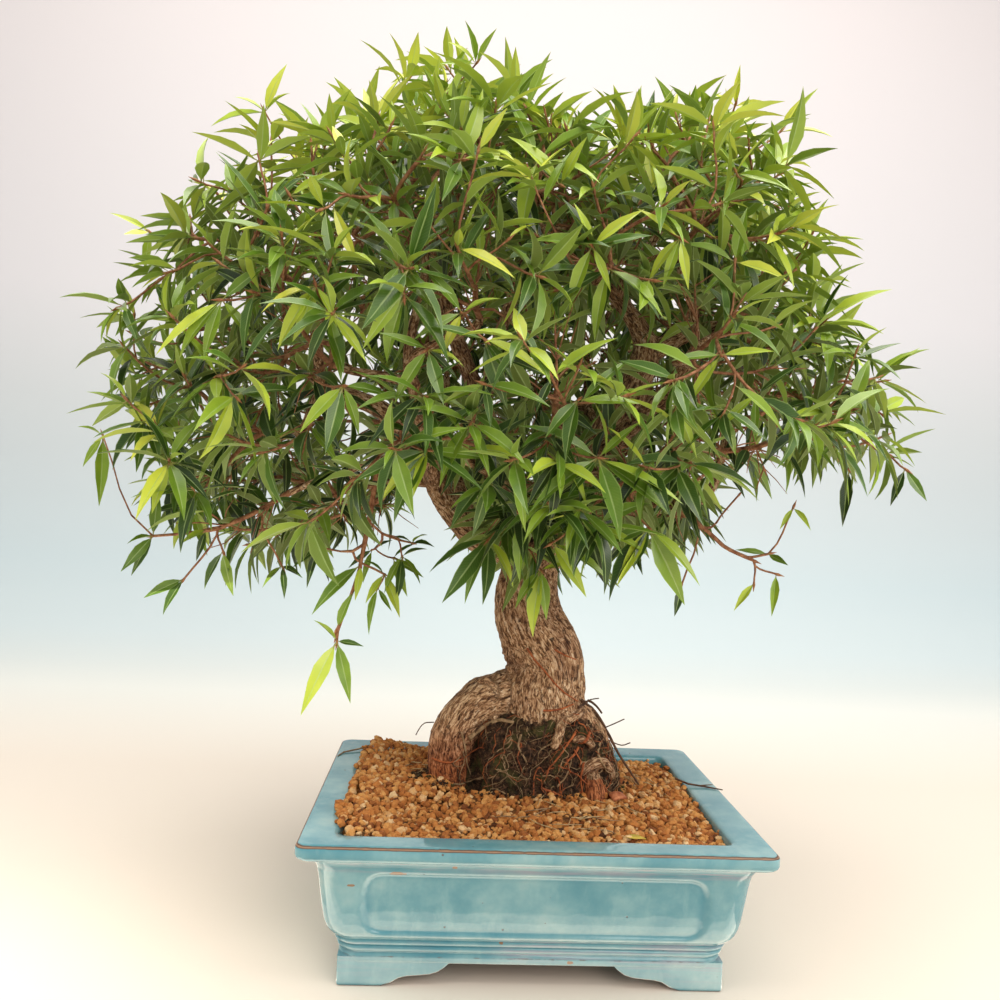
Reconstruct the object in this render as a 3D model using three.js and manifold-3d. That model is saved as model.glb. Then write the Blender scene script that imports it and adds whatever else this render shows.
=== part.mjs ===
import * as THREE from 'three';
import Module from 'manifold-3d';

// A willow leaf fig bonsai in a shallow glazed pot. Millimetres, Z up, front of the pot towards -Y.
// The origin of the work is on the floor under the middle of the pot.

const wasm = await Module();
wasm.setup();

// Driving dimensions of the pot.
const RIM_WIDTH = 350;
const RIM_DEPTH = 285;
const POT_HEIGHT = 114;
const FOOT_HEIGHT = 17;
const RIM_FLAT = 28;
const CORNER_RADIUS = 12;
const WALL = 9;
const FIT_GAP = 0.3;

// Levels that follow from them.
const FLOOR_TOP = FOOT_HEIGHT + WALL + 1.5;
const SLAB_UNDERSIDE = POT_HEIGHT - 12;
const SOIL_EDGE = POT_HEIGHT - 8;
const SOIL_MOUND = 14;
const PANEL_DEPTH = 1.6;

// The hole in the granules where the old root ball stands.
const HOLE = { x: -2, y: 14, radiusX: 90, radiusY: 46, bottom: 72 };

// The crown: its middle, and how far the leaf tips reach from it in the plane of the front view,
// every 15 degrees from +X turning up to +Z.
const CROWN = new THREE.Vector3(-15, 10, 470);
const CROWN_REACH = [
  320, 275, 297, 322, 296, 222, 238, 287, 290, 305, 328, 333,
  347, 335, 345, 265, 215, 190, 205, 210, 225, 250, 255, 335,
];
const REACH_SCALE = 1.04;
const CROWN_FRONT = 262;
const CROWN_BACK = 278;
const CROWN_FULLNESS = 2.3;

// The leaves and twigs.
const LEAF_LENGTH = 54;
const LEAF_WIDTH = 13;
const LEAF_KEEL = 1.5;
const BRANCH_TIP_RADIUS = 2.8;
const TWIG_RADIUS = 1.6;
const SPRAY_COUNT = 47;
const TARGET_COUNT = 158;
const STARS_PER_SPRAY = 4;
const CLEARANCE = 1.2;
const GOLDEN_ANGLE = Math.PI * (3 - Math.sqrt(5));

const UP = new THREE.Vector3(0, 0, 1);

function point(x, y, z) {
  return new THREE.Vector3(x, y, z);
}

function makeRandom(seed) {
  let state = seed >>> 0;
  return function next() {
    state = (Math.imul(state, 1664525) + 1013904223) >>> 0;
    return state / 4294967296;
  };
}

// Solid helpers: every closed shape goes through these before it is joined or cut.

function solid(points, triangles) {
  const vertProperties = new Float32Array(points.length * 3);
  points.forEach((p, i) => vertProperties.set([p.x, p.y, p.z], i * 3));
  const mesh = new wasm.Mesh({ numProp: 3, vertProperties, triVerts: new Uint32Array(triangles.flat()) });
  return new wasm.Manifold(mesh);
}

// Joins equal-sized rings into one closed body. Rings run anticlockwise seen from the far end.
function loft(rings) {
  const sides = rings[0].length;
  const points = rings.flat();
  const triangles = [];
  for (let ring = 0; ring + 1 < rings.length; ring += 1) {
    for (let side = 0; side < sides; side += 1) {
      const a = ring * sides + side;
      const b = ring * sides + ((side + 1) % sides);
      triangles.push([a, b, b + sides], [a, b + sides, a + sides]);
    }
  }
  const last = (rings.length - 1) * sides;
  if (sides === 4) {
    triangles.push([0, 2, 1], [0, 3, 2], [last, last + 1, last + 2], [last, last + 2, last + 3]);
    return solid(points, triangles);
  }
  const start = points.length;
  points.push(middle(rings[0]), middle(rings[rings.length - 1]));
  for (let side = 0; side < sides; side += 1) {
    const next = (side + 1) % sides;
    triangles.push([start, next, side], [start + 1, last + side, last + next]);
  }
  return solid(points, triangles);
}

function middle(ring) {
  const sum = point(0, 0, 0);
  ring.forEach((p) => sum.add(p));
  return sum.divideScalar(ring.length);
}

function largest(body) {
  const pieces = body.decompose();
  pieces.sort((a, b) => b.volume() - a.volume());
  return pieces[0];
}

function toMesh(name, body, color, roughness) {
  const { vertProperties, triVerts } = body.getMesh();
  const geometry = new THREE.BufferGeometry();
  geometry.setAttribute('position', new THREE.Float32BufferAttribute(Array.from(vertProperties), 3));
  geometry.setIndex(Array.from(triVerts));
  geometry.computeVertexNormals();
  const material = new THREE.MeshStandardMaterial({ color, roughness, metalness: 0 });
  const mesh = new THREE.Mesh(geometry, material);
  mesh.name = name;
  return mesh;
}

function box(x0, x1, y0, y1, z0, z1) {
  const ring = (z) => [point(x0, y0, z), point(x1, y0, z), point(x1, y1, z), point(x0, y1, z)];
  return loft([ring(z0), ring(z1)]);
}

function ellipseRing(x, y, z, radiusX, radiusY, sides) {
  const ring = [];
  for (let i = 0; i < sides; i += 1) {
    const angle = (2 * Math.PI * i) / sides;
    ring.push(point(x + radiusX * Math.cos(angle), y + radiusY * Math.sin(angle), z));
  }
  return ring;
}

function roundedRing(halfX, halfY, radius, z, steps) {
  const ring = [];
  const corners = [[1, -1, -90], [1, 1, 0], [-1, 1, 90], [-1, -1, 180]];
  for (const [signX, signY, start] of corners) {
    for (let i = 0; i <= steps; i += 1) {
      const angle = THREE.MathUtils.degToRad(start + (90 * i) / steps);
      const x = signX * (halfX - radius) + radius * Math.cos(angle);
      const y = signY * (halfY - radius) + radius * Math.sin(angle);
      ring.push(point(x, y, z));
    }
  }
  return ring;
}

// The pot's plan, drawn in from the rim's outer edge.
function potRing(inset, z, steps = 3) {
  return roundedRing(RIM_WIDTH / 2 - inset, RIM_DEPTH / 2 - inset, CORNER_RADIUS, z, steps);
}

// Outer profile from the underside up to the rim slab, as [inset, height].
const POT_OUTSIDE = [
  [34, FOOT_HEIGHT],
  [30.5, FOOT_HEIGHT + 1.5],
  [30, FOOT_HEIGHT + 6.5],
  [31, FOOT_HEIGHT + 9],
  [27.5, FOOT_HEIGHT + 11],
  [24, 40],
  [21.5, 51],
  [19.8, 64],
  [17, 77],
  [13, 90],
  [8, SLAB_UNDERSIDE - 4],
  [6.5, SLAB_UNDERSIDE - 0.5],
];

const POT_RIM = [
  [1.5, SLAB_UNDERSIDE],
  [0, SLAB_UNDERSIDE + 3],
  [0, POT_HEIGHT - 4],
  [1.2, POT_HEIGHT - 1],
  [3.5, POT_HEIGHT],
  [12, POT_HEIGHT - 0.4],
  [RIM_FLAT - 3, POT_HEIGHT - 1.2],
  [RIM_FLAT, POT_HEIGHT - 3.5],
];

const POT_INSIDE = [
  [RIM_FLAT + 1, SOIL_EDGE],
  [RIM_FLAT + 2, 88],
  [RIM_FLAT + 5, 40],
  [RIM_FLAT + 9, FLOOR_TOP + 3.5],
  [RIM_FLAT + 18, FLOOR_TOP],
];

const DRAIN_X = 70;
const DRAIN_RADIUS = 14;

// The space in front of the wall, set in by the depth of the recessed panel.
function panelCut(turned) {
  const deep = POT_OUTSIDE.map(([inset, z]) => potRing(inset + PANEL_DEPTH, z, 1));
  const behind = loft(deep);
  const half = turned ? 94 : 128;
  const reach = turned ? RIM_WIDTH / 2 : RIM_DEPTH / 2;
  const outline = roundedRing(half, 24, 12, 0, 2);
  const place = (p, depth) => (turned ? point(depth, p.x, 62 + p.y) : point(-p.x, depth, 62 + p.y));
  const front = outline.map((p) => place(p, -reach - 5));
  const back = outline.map((p) => place(p, reach + 5));
  return loft([front, back]).subtract(behind);
}

// One arm of a corner foot: flat at the corner, stepped and curved up to the pot's underside.
function footArm(length) {
  const scale = length / 84;
  const profile = [[0, 0], [37, 0], [42, 5], [46, 6.2], [58, 8], [67, 10.5], [76, 14], [84, 18.5], [0, 19]];
  return profile.map(([along, z]) => [along * scale, z]);
}

function foot(signX, signY) {
  const inset = 31;
  const thickness = 14;
  const cornerX = RIM_WIDTH / 2 - inset;
  const cornerY = RIM_DEPTH / 2 - inset;
  const front = footArm(84);
  const side = footArm(68);
  const build = (profile, place) => {
    const near = profile.map(([along, z]) => place(along, 0, z));
    const far = profile.map(([along, z]) => place(along, thickness, z));
    return prism(near, far);
  };
  const alongX = build(front, (a, d, z) => point(signX * (cornerX - a), signY * (cornerY - d), z));
  const alongY = build(side, (a, d, z) => point(signX * (cornerX - d), signY * (cornerY - a), z));
  return alongX.add(alongY);
}

// A prism between two equal outlines that need not be convex.
function prism(near, far) {
  const flat = near.map((p) => new THREE.Vector2(p.x + p.y, p.z));
  const cap = THREE.ShapeUtils.triangulateShape(flat, []);
  const sides = near.length;
  const triangles = [];
  for (const [a, b, c] of cap) {
    triangles.push([a, b, c], [a + sides, c + sides, b + sides]);
  }
  const clockwise = THREE.ShapeUtils.isClockWise(flat);
  for (let i = 0; i < sides; i += 1) {
    const next = (i + 1) % sides;
    if (clockwise) {
      triangles.push([i, next, next + sides], [i, next + sides, i + sides]);
    } else {
      triangles.push([i, next + sides, next], [i, i + sides, next + sides]);
    }
  }
  const points = [...near, ...far];
  if (signedVolume(points, triangles) < 0) {
    triangles.forEach((t) => t.reverse());
  }
  return solid(points, triangles);
}

function signedVolume(points, triangles) {
  let sum = 0;
  for (const [a, b, c] of triangles) {
    sum += points[a].dot(points[b].clone().cross(points[c]));
  }
  return sum / 6;
}

function pot() {
  const rings = [...POT_OUTSIDE, ...POT_RIM, ...POT_INSIDE].map(([inset, z]) => potRing(inset, z));
  let body = loft(rings);
  body = body.subtract(panelCut(false)).subtract(panelCut(true));
  for (const signX of [-1, 1]) {
    for (const signY of [-1, 1]) {
      body = body.add(foot(signX, signY));
      body = body.subtract(shaft(signX * 35, signY * 60, 3, 6, 10, FLOOR_TOP + 5));
    }
    body = body.subtract(shaft(signX * DRAIN_X, 0, DRAIN_RADIUS, 14, 10, FLOOR_TOP + 5));
  }
  return body;
}

function shaft(x, y, radius, sides, z0, z1) {
  return loft([ellipseRing(x, y, z0, radius, radius, sides), ellipseRing(x, y, z1, radius, radius, sides)]);
}

// A square plastic screen with a grid of openings, lying over one drain hole.
const SCREEN = { half: 20, thick: 1.6, openings: 3, bar: 3 };

function screenBody(x) {
  const bottom = FLOOR_TOP + FIT_GAP;
  let body = box(x - SCREEN.half, x + SCREEN.half, -SCREEN.half, SCREEN.half, bottom, bottom + SCREEN.thick);
  const pitch = (2 * SCREEN.half - SCREEN.bar) / SCREEN.openings;
  for (let i = 0; i < SCREEN.openings; i += 1) {
    for (let j = 0; j < SCREEN.openings; j += 1) {
      const x0 = x - SCREEN.half + SCREEN.bar + i * pitch;
      const y0 = -SCREEN.half + SCREEN.bar + j * pitch;
      const size = pitch - SCREEN.bar;
      body = body.subtract(box(x0, x0 + size, y0, y0 + size, bottom - 1, bottom + 5));
    }
  }
  return body;
}

// The height of the granules: a low mound round the tree, higher behind and to the left.
function soilHeight(x, y) {
  const dx = (x - HOLE.x) / 150;
  const dy = (y - HOLE.y) / 110;
  const mound = Math.exp(-(dx * dx + dy * dy) * 1.6);
  const lean = 4 * Math.exp(-(((x + 90) / 70) ** 2) - ((y - 70) / 60) ** 2);
  return SOIL_EDGE - 1.5 + SOIL_MOUND * mound + lean;
}

function grain(x, y) {
  const wave = Math.sin(x * 0.83 + 1.7 * Math.sin(y * 0.31)) * Math.sin(y * 0.71 + 2.1 * Math.sin(x * 0.27));
  return 1.3 * wave;
}

function soil() {
  const steps = 11;
  const inner = POT_INSIDE.map(([inset, z]) => potRing(inset + FIT_GAP + 0.05, z, steps));
  inner[0].forEach((p) => { p.z -= 1; });
  inner[inner.length - 1].forEach((p) => { p.z += FIT_GAP; });
  inner[inner.length - 2].forEach((p) => { p.z += FIT_GAP; });
  const spread = inner.map((ring) => evenRing(ring, 48));
  const rings = spread.reverse();
  const edge = rings[rings.length - 1];
  const rim = edge.map((p) => {
    const angle = Math.atan2((p.y - HOLE.y) / HOLE.radiusY, (p.x - HOLE.x) / HOLE.radiusX);
    return point(HOLE.x + HOLE.radiusX * Math.cos(angle), HOLE.y + HOLE.radiusY * Math.sin(angle), 0);
  });
  const rows = 6;
  for (let row = 1; row <= rows; row += 1) {
    const t = row / rows;
    rings.push(edge.map((p, i) => {
      const q = point(p.x + (rim[i].x - p.x) * t, p.y + (rim[i].y - p.y) * t, 0);
      q.z = soilHeight(q.x, q.y) + grain(q.x, q.y);
      return q;
    }));
  }
  rings.push(rim.map((p) => point(p.x, p.y, HOLE.bottom)));
  let body = loft(rings);
  for (const x of [-DRAIN_X, DRAIN_X]) {
    const reach = SCREEN.half + FIT_GAP;
    const top = FLOOR_TOP + SCREEN.thick + 3 * FIT_GAP;
    body = body.subtract(box(x - reach, x + reach, -reach, reach, FLOOR_TOP, top));
  }
  return body;
}

// Spreads points evenly along a closed ring without cutting its corners.
function evenRing(ring, count) {
  const centre = middle(ring);
  const out = [];
  for (let i = 0; i < count; i += 1) {
    const angle = (2 * Math.PI * (i + 0.5)) / count;
    out.push(rayHit(ring, centre, angle));
  }
  return out;
}

function rayHit(ring, centre, angle) {
  const dx = Math.cos(angle) * RIM_WIDTH;
  const dy = Math.sin(angle) * RIM_DEPTH;
  for (let i = 0; i < ring.length; i += 1) {
    const a = ring[i];
    const b = ring[(i + 1) % ring.length];
    const ex = b.x - a.x;
    const ey = b.y - a.y;
    const det = dx * -ey + dy * ex;
    if (Math.abs(det) > 1e-9) {
      const s = ((a.x - centre.x) * -ey + (a.y - centre.y) * ex) / det;
      const t = (dx * (a.y - centre.y) - dy * (a.x - centre.x)) / det;
      if (s > 0 && t >= 0 && t <= 1) {
        return point(centre.x + dx * s, centre.y + dy * s, a.z + (b.z - a.z) * t);
      }
    }
  }
  throw new Error('no hit');
}

// A tube along a path. Each stop gives a place and a radius, and may give the way its ring faces;
// depth flattens the section.
function tube(stops, sides, lumps = 0, depth = 1) {
  const rings = [];
  let side = point(1, 0, 0);
  for (let i = 0; i < stops.length; i += 1) {
    const before = stops[Math.max(i - 1, 0)].at;
    const after = stops[Math.min(i + 1, stops.length - 1)].at;
    const along = stops[i].facing || after.clone().sub(before).normalize();
    side.addScaledVector(along, -side.dot(along));
    if (side.lengthSq() < 1e-4) {
      side = point(0, 1, 0).addScaledVector(along, -along.y);
    }
    side.normalize();
    const other = along.clone().cross(side);
    const ring = [];
    for (let k = 0; k < sides; k += 1) {
      const angle = (2 * Math.PI * k) / sides;
      const lump = 1 + lumps * Math.sin(3 * angle + stops[i].at.z / 23) + lumps * 0.6 * Math.sin(5 * angle + i);
      const radius = stops[i].radius * lump;
      const p = stops[i].at.clone();
      p.addScaledVector(side, radius * Math.cos(angle));
      p.addScaledVector(other, radius * Math.sin(angle) * depth);
      ring.push(p);
    }
    rings.push(ring);
    side = side.clone();
  }
  return loft(rings);
}

function stop(x, y, z, radius) {
  return { at: point(x, y, z), radius };
}

// The hand-placed wood: trunk, roots and main limbs, each as stops from its thick end.
const TRUNK = [
  stop(6, 15, 128, 22), stop(8, 15, 150, 34), stop(10, 15, 168, 42), stop(12, 15, 186, 43), stop(14, 15, 199, 40),
  stop(14, 15, 213, 35), stop(12, 15, 224, 32.5), stop(11, 15, 238, 32), stop(0, 15, 260, 30.5),
  stop(-5, 15, 288, 25.5), stop(-1, 15, 310, 23), stop(16, 15, 330, 20.5), stop(34, 15, 350, 19),
  stop(47, 15, 384, 18.5), stop(58, 15, 420, 17), stop(77, 17, 457, 15), stop(91, 18, 498, 13),
  stop(84, 18, 522, 9.5), stop(66, 18, 545, 7), stop(44, 16, 566, 5),
];

const ROOTS = [
  [stop(2, 14, 194, 28), stop(-30, 13, 188, 22.5), stop(-52, 13, 177, 21), stop(-65, 12, 160, 20),
    stop(-68, 12, 140, 19), stop(-67, 12, 118, 18), stop(-66, 13, 94, 14)],
  [stop(18, 12, 200, 24), stop(38, 8, 184, 23), stop(50, 4, 168, 21), stop(59, 1, 150, 18),
    stop(66, -1, 128, 14.5), stop(68, 0, 96, 9)],
  [stop(4, 30, 190, 24), stop(3, 40, 160, 20), stop(5, 44, 128, 14), stop(6, 42, 96, 8)],
];

const LIMBS = [
  [stop(-2, 15, 304, 15), stop(-26, 14, 318, 12.5), stop(-53, 14, 328, 11.5), stop(-80, 12, 358, 11),
    stop(-92, 10, 382, 10.5), stop(-104, 8, 406, 10), stop(-142, 4, 437, 8.5), stop(-186, 2, 452, 6.5)],
  [stop(-4, 16, 302, 12), stop(-16, 24, 345, 9.5), stop(-30, 30, 400, 8.5), stop(-58, 32, 460, 8),
    stop(-84, 26, 520, 7), stop(-102, 22, 575, 5.5)],
  [stop(90, 18, 496, 10), stop(116, 16, 512, 8), stop(146, 14, 524, 6.5), stop(184, 16, 536, 5)],
  [stop(44, 15, 374, 13), stop(62, 60, 398, 9), stop(66, 110, 428, 7), stop(62, 150, 462, 5.5)],
  [stop(-52, 14, 327, 9), stop(-62, 60, 352, 8), stop(-76, 105, 390, 6.5), stop(-88, 146, 428, 5.5)],
  [stop(56, 15, 412, 11), stop(74, -34, 432, 8), stop(92, -80, 458, 6.5), stop(104, -118, 486, 5)],
  [stop(-90, 10, 377, 8.5), stop(-96, -32, 402, 7.5), stop(-104, -78, 430, 6), stop(-112, -116, 460, 5)],
  [stop(-50, 31, 444, 6.5), stop(-44, 4, 492, 6), stop(-30, -30, 540, 5), stop(-18, -56, 580, 4.5)],
  [stop(30, 15, 346, 12), stop(58, 4, 356, 8.5), stop(96, -8, 362, 7), stop(140, -16, 372, 5.5)],
];

// How far the leaf tips reach from the middle of the crown in a direction.
function reach(direction) {
  const flat = Math.hypot(direction.x, direction.z);
  let turn = Math.atan2(direction.z, direction.x) / (2 * Math.PI);
  turn = (turn - Math.floor(turn)) * CROWN_REACH.length;
  const low = Math.floor(turn) % CROWN_REACH.length;
  const high = (low + 1) % CROWN_REACH.length;
  const part = turn - Math.floor(turn);
  const sideways = REACH_SCALE * (CROWN_REACH[low] * (1 - part) + CROWN_REACH[high] * part);
  const depthways = direction.y < 0 ? CROWN_FRONT : CROWN_BACK;
  const a = (flat / sideways) ** CROWN_FULLNESS;
  const b = (Math.abs(direction.y) / depthways) ** CROWN_FULLNESS;
  return (a + b) ** (-1 / CROWN_FULLNESS);
}

function spiralDirection(i, count, turn) {
  const z = 1 - (2 * (i + 0.5)) / count;
  const r = Math.sqrt(1 - z * z);
  const angle = i * GOLDEN_ANGLE + turn;
  return point(r * Math.cos(angle), r * Math.sin(angle), z);
}

function fromCrown(direction, distance) {
  return CROWN.clone().addScaledVector(direction, distance);
}

// A smooth path between two places, with a direction at each end.
function bend(a, leaveA, b, arriveB, steps) {
  const size = a.distanceTo(b);
  const c1 = a.clone().addScaledVector(leaveA, size * 0.36);
  const c2 = b.clone().addScaledVector(arriveB, -size * 0.32);
  return new THREE.CubicBezierCurve3(a, c1, c2, b).getPoints(steps);
}

// The low twigs that hang out of the crown, each as the places it goes through.
const HANGING = [
  { path: [point(-134, -70, 389), point(-139, -70, 344), point(-145, -70, 304), point(-160, -70, 252)] },
  { path: [point(-203, -60, 361), point(-233, -60, 342), point(-258, -60, 330), point(-284, -60, 325)] },
  { path: [point(113, -40, 362), point(135, -40, 347), point(152, -40, 333), point(178, -40, 322)] },
];

// Where each spray joins the wood.
function sprayBases() {
  const bases = HANGING.map((twig) => {
    const out = twig.path[1].clone().sub(twig.path[0]).normalize();
    return { at: twig.path[0], out, hanging: twig };
  });
  for (let i = 0; i < SPRAY_COUNT; i += 1) {
    const direction = spiralDirection(i, SPRAY_COUNT, 0.4);
    const low = direction.z < -0.62 && direction.y > -0.35;
    if (!low && direction.z > -0.86) {
      const at = fromCrown(direction, reach(direction) * 0.6);
      const out = direction.clone().add(point(0, 0, 0.25)).normalize();
      bases.push({ at, out, hanging: null });
    }
  }
  return bases;
}

// Joins every spray base to the nearest wood that lies further in, thick limbs first.
function growBranches(bases) {
  const nodes = [];
  const addNodes = (stops) => {
    for (let i = 1; i < stops.length; i += 1) {
      for (const t of [0, 0.5]) {
        const at = stops[i - 1].at.clone().lerp(stops[i].at, t);
        const along = stops[i].at.clone().sub(stops[i - 1].at).normalize();
        nodes.push({ at, along, radius: stops[i - 1].radius * (1 - t) + stops[i].radius * t });
      }
    }
    const last = stops[stops.length - 1];
    nodes.push({ at: last.at, along: nodes[nodes.length - 1].along, radius: last.radius });
  };
  addNodes(TRUNK.slice(10));
  LIMBS.forEach(addNodes);
  const branches = [];
  const order = bases.map((base, i) => ({ base, i, far: base.at.distanceTo(CROWN) }));
  order.sort((a, b) => a.far - b.far || a.i - b.i);
  for (const { base } of order) {
    let best = null;
    let bestCost = Infinity;
    for (const node of nodes) {
      const step = base.at.clone().sub(node.at);
      const size = step.length();
      const turn = 1 - step.dot(node.along) / size;
      const back = 1 - step.dot(base.out) / size;
      const cost = size * (1 + 0.25 * turn + 0.35 * back) + (size < 25 ? 200 : 0) + 4 * Math.max(0, 5 - node.radius);
      if (cost < bestCost) {
        bestCost = cost;
        best = node;
      }
    }
    const leave = best.along.clone().lerp(base.at.clone().sub(best.at).normalize(), 0.6).normalize();
    const path = bend(best.at, leave, base.at, base.out, 3);
    const thick = Math.min(best.radius * 0.8, 5.2);
    const stops = path.map((at, i) => {
      const part = i / (path.length - 1);
      return { at, radius: thick + (BRANCH_TIP_RADIUS - thick) * part };
    });
    stops[stops.length - 1].facing = base.out;
    branches.push(stops);
    addNodes(stops.slice(1));
    nodes.pop();
  }
  return branches;
}

// Keeps the pieces apart: every stick and leaf placed so far, as thick line segments.
const placed = [];

function segmentGap(p1, q1, p2, q2) {
  const d1 = q1.clone().sub(p1);
  const d2 = q2.clone().sub(p2);
  const r = p1.clone().sub(p2);
  const a = d1.dot(d1);
  const e = d2.dot(d2);
  const f = d2.dot(r);
  const c = d1.dot(r);
  const b = d1.dot(d2);
  const clamp = THREE.MathUtils.clamp;
  const det = a * e - b * b;
  let s = det > 1e-9 ? clamp((b * f - c * e) / det, 0, 1) : 0;
  let t = (b * s + f) / e;
  if (t < 0 || t > 1) {
    t = clamp(t, 0, 1);
    s = clamp((b * t - c) / a, 0, 1);
  }
  return p1.clone().addScaledVector(d1, s).distanceTo(p2.clone().addScaledVector(d2, t));
}

function isClear(segments, owner) {
  for (const { a, b, radius } of segments) {
    for (const other of placed) {
      if (other.owner !== owner && segmentGap(a, b, other.a, other.b) < radius + other.radius + CLEARANCE) {
        return false;
      }
    }
  }
  return true;
}

function keep(segments, owner) {
  segments.forEach(({ a, b, radius }) => placed.push({ a, b, radius, owner }));
}

// The same for the pieces of one spray, which must not run through each other.
const ownBodies = new Map();

function meets(body, owner) {
  const others = ownBodies.get(owner) || [];
  return others.some((other) => other.intersect(body).volume() > 0.001);
}

function keepBody(body, owner) {
  ownBodies.set(owner, [...(ownBodies.get(owner) || []), body]);
}

function segmentsOf(stops) {
  const segments = [];
  for (let i = 0; i + 1 < stops.length; i += 1) {
    segments.push({ a: stops[i].at, b: stops[i + 1].at, radius: Math.max(stops[i].radius, stops[i + 1].radius) });
  }
  return segments;
}

// A spray is grown as one skin: twigs and leaves rise out of triangular faces of the twig below them.
function startSkin(ring) {
  const skin = { points: [...ring], triangles: [], top: [0, 1, 2], sides: [] };
  skin.triangles.push([0, 2, 1]);
  return skin;
}

// Three points round a place on a twig.
function twigRing(at, along, radius, roll) {
  const across = Math.abs(along.z) < 0.9 ? UP.clone().cross(along).normalize() : point(1, 0, 0);
  across.addScaledVector(along, -across.dot(along)).normalize();
  const other = along.clone().cross(across);
  return [0, 1, 2].map((k) => {
    const angle = roll + (2 * Math.PI * k) / 3;
    const p = at.clone().addScaledVector(across, radius * Math.cos(angle));
    return p.addScaledVector(other, radius * Math.sin(angle));
  });
}

// Turns a ring of three points so that it follows a face with the least twist.
function matched(skin, face, ring, along) {
  const flat = (points) => {
    const centre = middle(points);
    return points.map((p) => p.clone().sub(centre)).map((p) => p.addScaledVector(along, -p.dot(along)));
  };
  const normal = ring[1].clone().sub(ring[0]).cross(ring[2].clone().sub(ring[0]));
  const ordered = normal.dot(along) > 0 ? ring : [ring[0], ring[2], ring[1]];
  const from = flat(face.map((i) => skin.points[i]));
  const to = flat(ordered);
  let best = 0;
  let bestFit = -Infinity;
  for (let turn = 0; turn < 3; turn += 1) {
    const fit = from.reduce((sum, p, i) => sum + p.dot(to[(i + turn) % 3]), 0);
    if (fit > bestFit) {
      bestFit = fit;
      best = turn;
    }
  }
  return [0, 1, 2].map((i) => ordered[(i + best) % 3]);
}

// Draws a face out to a new ring and returns the ring's face and the six side faces. Each side is split
// along the diagonal that lies further out, so that a twisted stretch doesn't cut into itself.
function drawOut(skin, face, ring, along) {
  const first = skin.points.length;
  skin.points.push(...matched(skin, face, ring, along));
  const top = [first, first + 1, first + 2];
  const axis = new THREE.Line3(faceMiddle(skin, face), faceMiddle(skin, top));
  const bulge = (a, b) => {
    const p = skin.points[a].clone().lerp(skin.points[b], 0.5);
    return p.distanceTo(axis.closestPointToPoint(p, false, new THREE.Vector3()));
  };
  const sides = [];
  for (let i = 0; i < 3; i += 1) {
    const next = (i + 1) % 3;
    if (bulge(face[i], top[next]) > bulge(face[next], top[i])) {
      sides.push([face[i], face[next], top[next]], [face[i], top[next], top[i]]);
    } else {
      sides.push([face[i], face[next], top[i]], [face[next], top[next], top[i]]);
    }
  }
  return { top, sides };
}

function closeTip(skin, face, tip) {
  skin.points.push(tip);
  const last = skin.points.length - 1;
  for (let i = 0; i < 3; i += 1) {
    skin.triangles.push([face[i], face[(i + 1) % 3], last]);
  }
}

function faceNormal(skin, face) {
  const [a, b, c] = face.map((i) => skin.points[i]);
  return b.clone().sub(a).cross(c.clone().sub(a)).normalize();
}

function faceMiddle(skin, face) {
  return middle(face.map((i) => skin.points[i]));
}

// One narrow leaf with a keel under its middle, bent down towards the tip.
function leafShape(base, along, normal, length, width, arch) {
  const side = along.clone().cross(normal).normalize();
  const centre = (s) => base.clone().addScaledVector(along, length * s).addScaledVector(normal, -length * arch * s * s);
  const rows = [[0.36, 0.96, 1], [0.7, 0.68, 0.85]].map(([s, wide, keel]) => [
    centre(s).addScaledVector(side, (width / 2) * wide),
    centre(s).addScaledVector(side, (-width / 2) * wide),
    centre(s).addScaledVector(normal, -LEAF_KEEL * keel),
  ]);
  const halfWide = width * 0.45;
  const segments = [
    { a: centre(0.12), b: centre(0.36), radius: halfWide },
    { a: centre(0.36), b: centre(0.7), radius: halfWide },
    { a: centre(0.7), b: centre(1), radius: halfWide * 0.6 },
  ];
  return { rows, tip: centre(1), segments, blade: bladeBody(base.clone().lerp(centre(0.36), 0.2), rows, centre(1)) };
}

// A leaf without its foot, as a body of its own.
function bladeBody(start, rows, tip) {
  const points = [start, ...rows[0], ...rows[1], tip];
  const triangles = [];
  for (let i = 0; i < 3; i += 1) {
    const next = (i + 1) % 3;
    triangles.push([0, 1 + next, 1 + i], [7, 4 + i, 4 + next]);
    triangles.push([1 + i, 1 + next, 4 + next], [1 + i, 4 + next, 4 + i]);
  }
  if (signedVolume(points, triangles) < 0) {
    triangles.forEach((t) => t.reverse());
  }
  return solid(points, triangles);
}

// How much the leaves hang: upright at the top of the crown, drooping low down.
function droopAt(z) {
  return THREE.MathUtils.clamp(0.75 - (z - 330) / 420, -0.15, 0.85);
}

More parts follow.
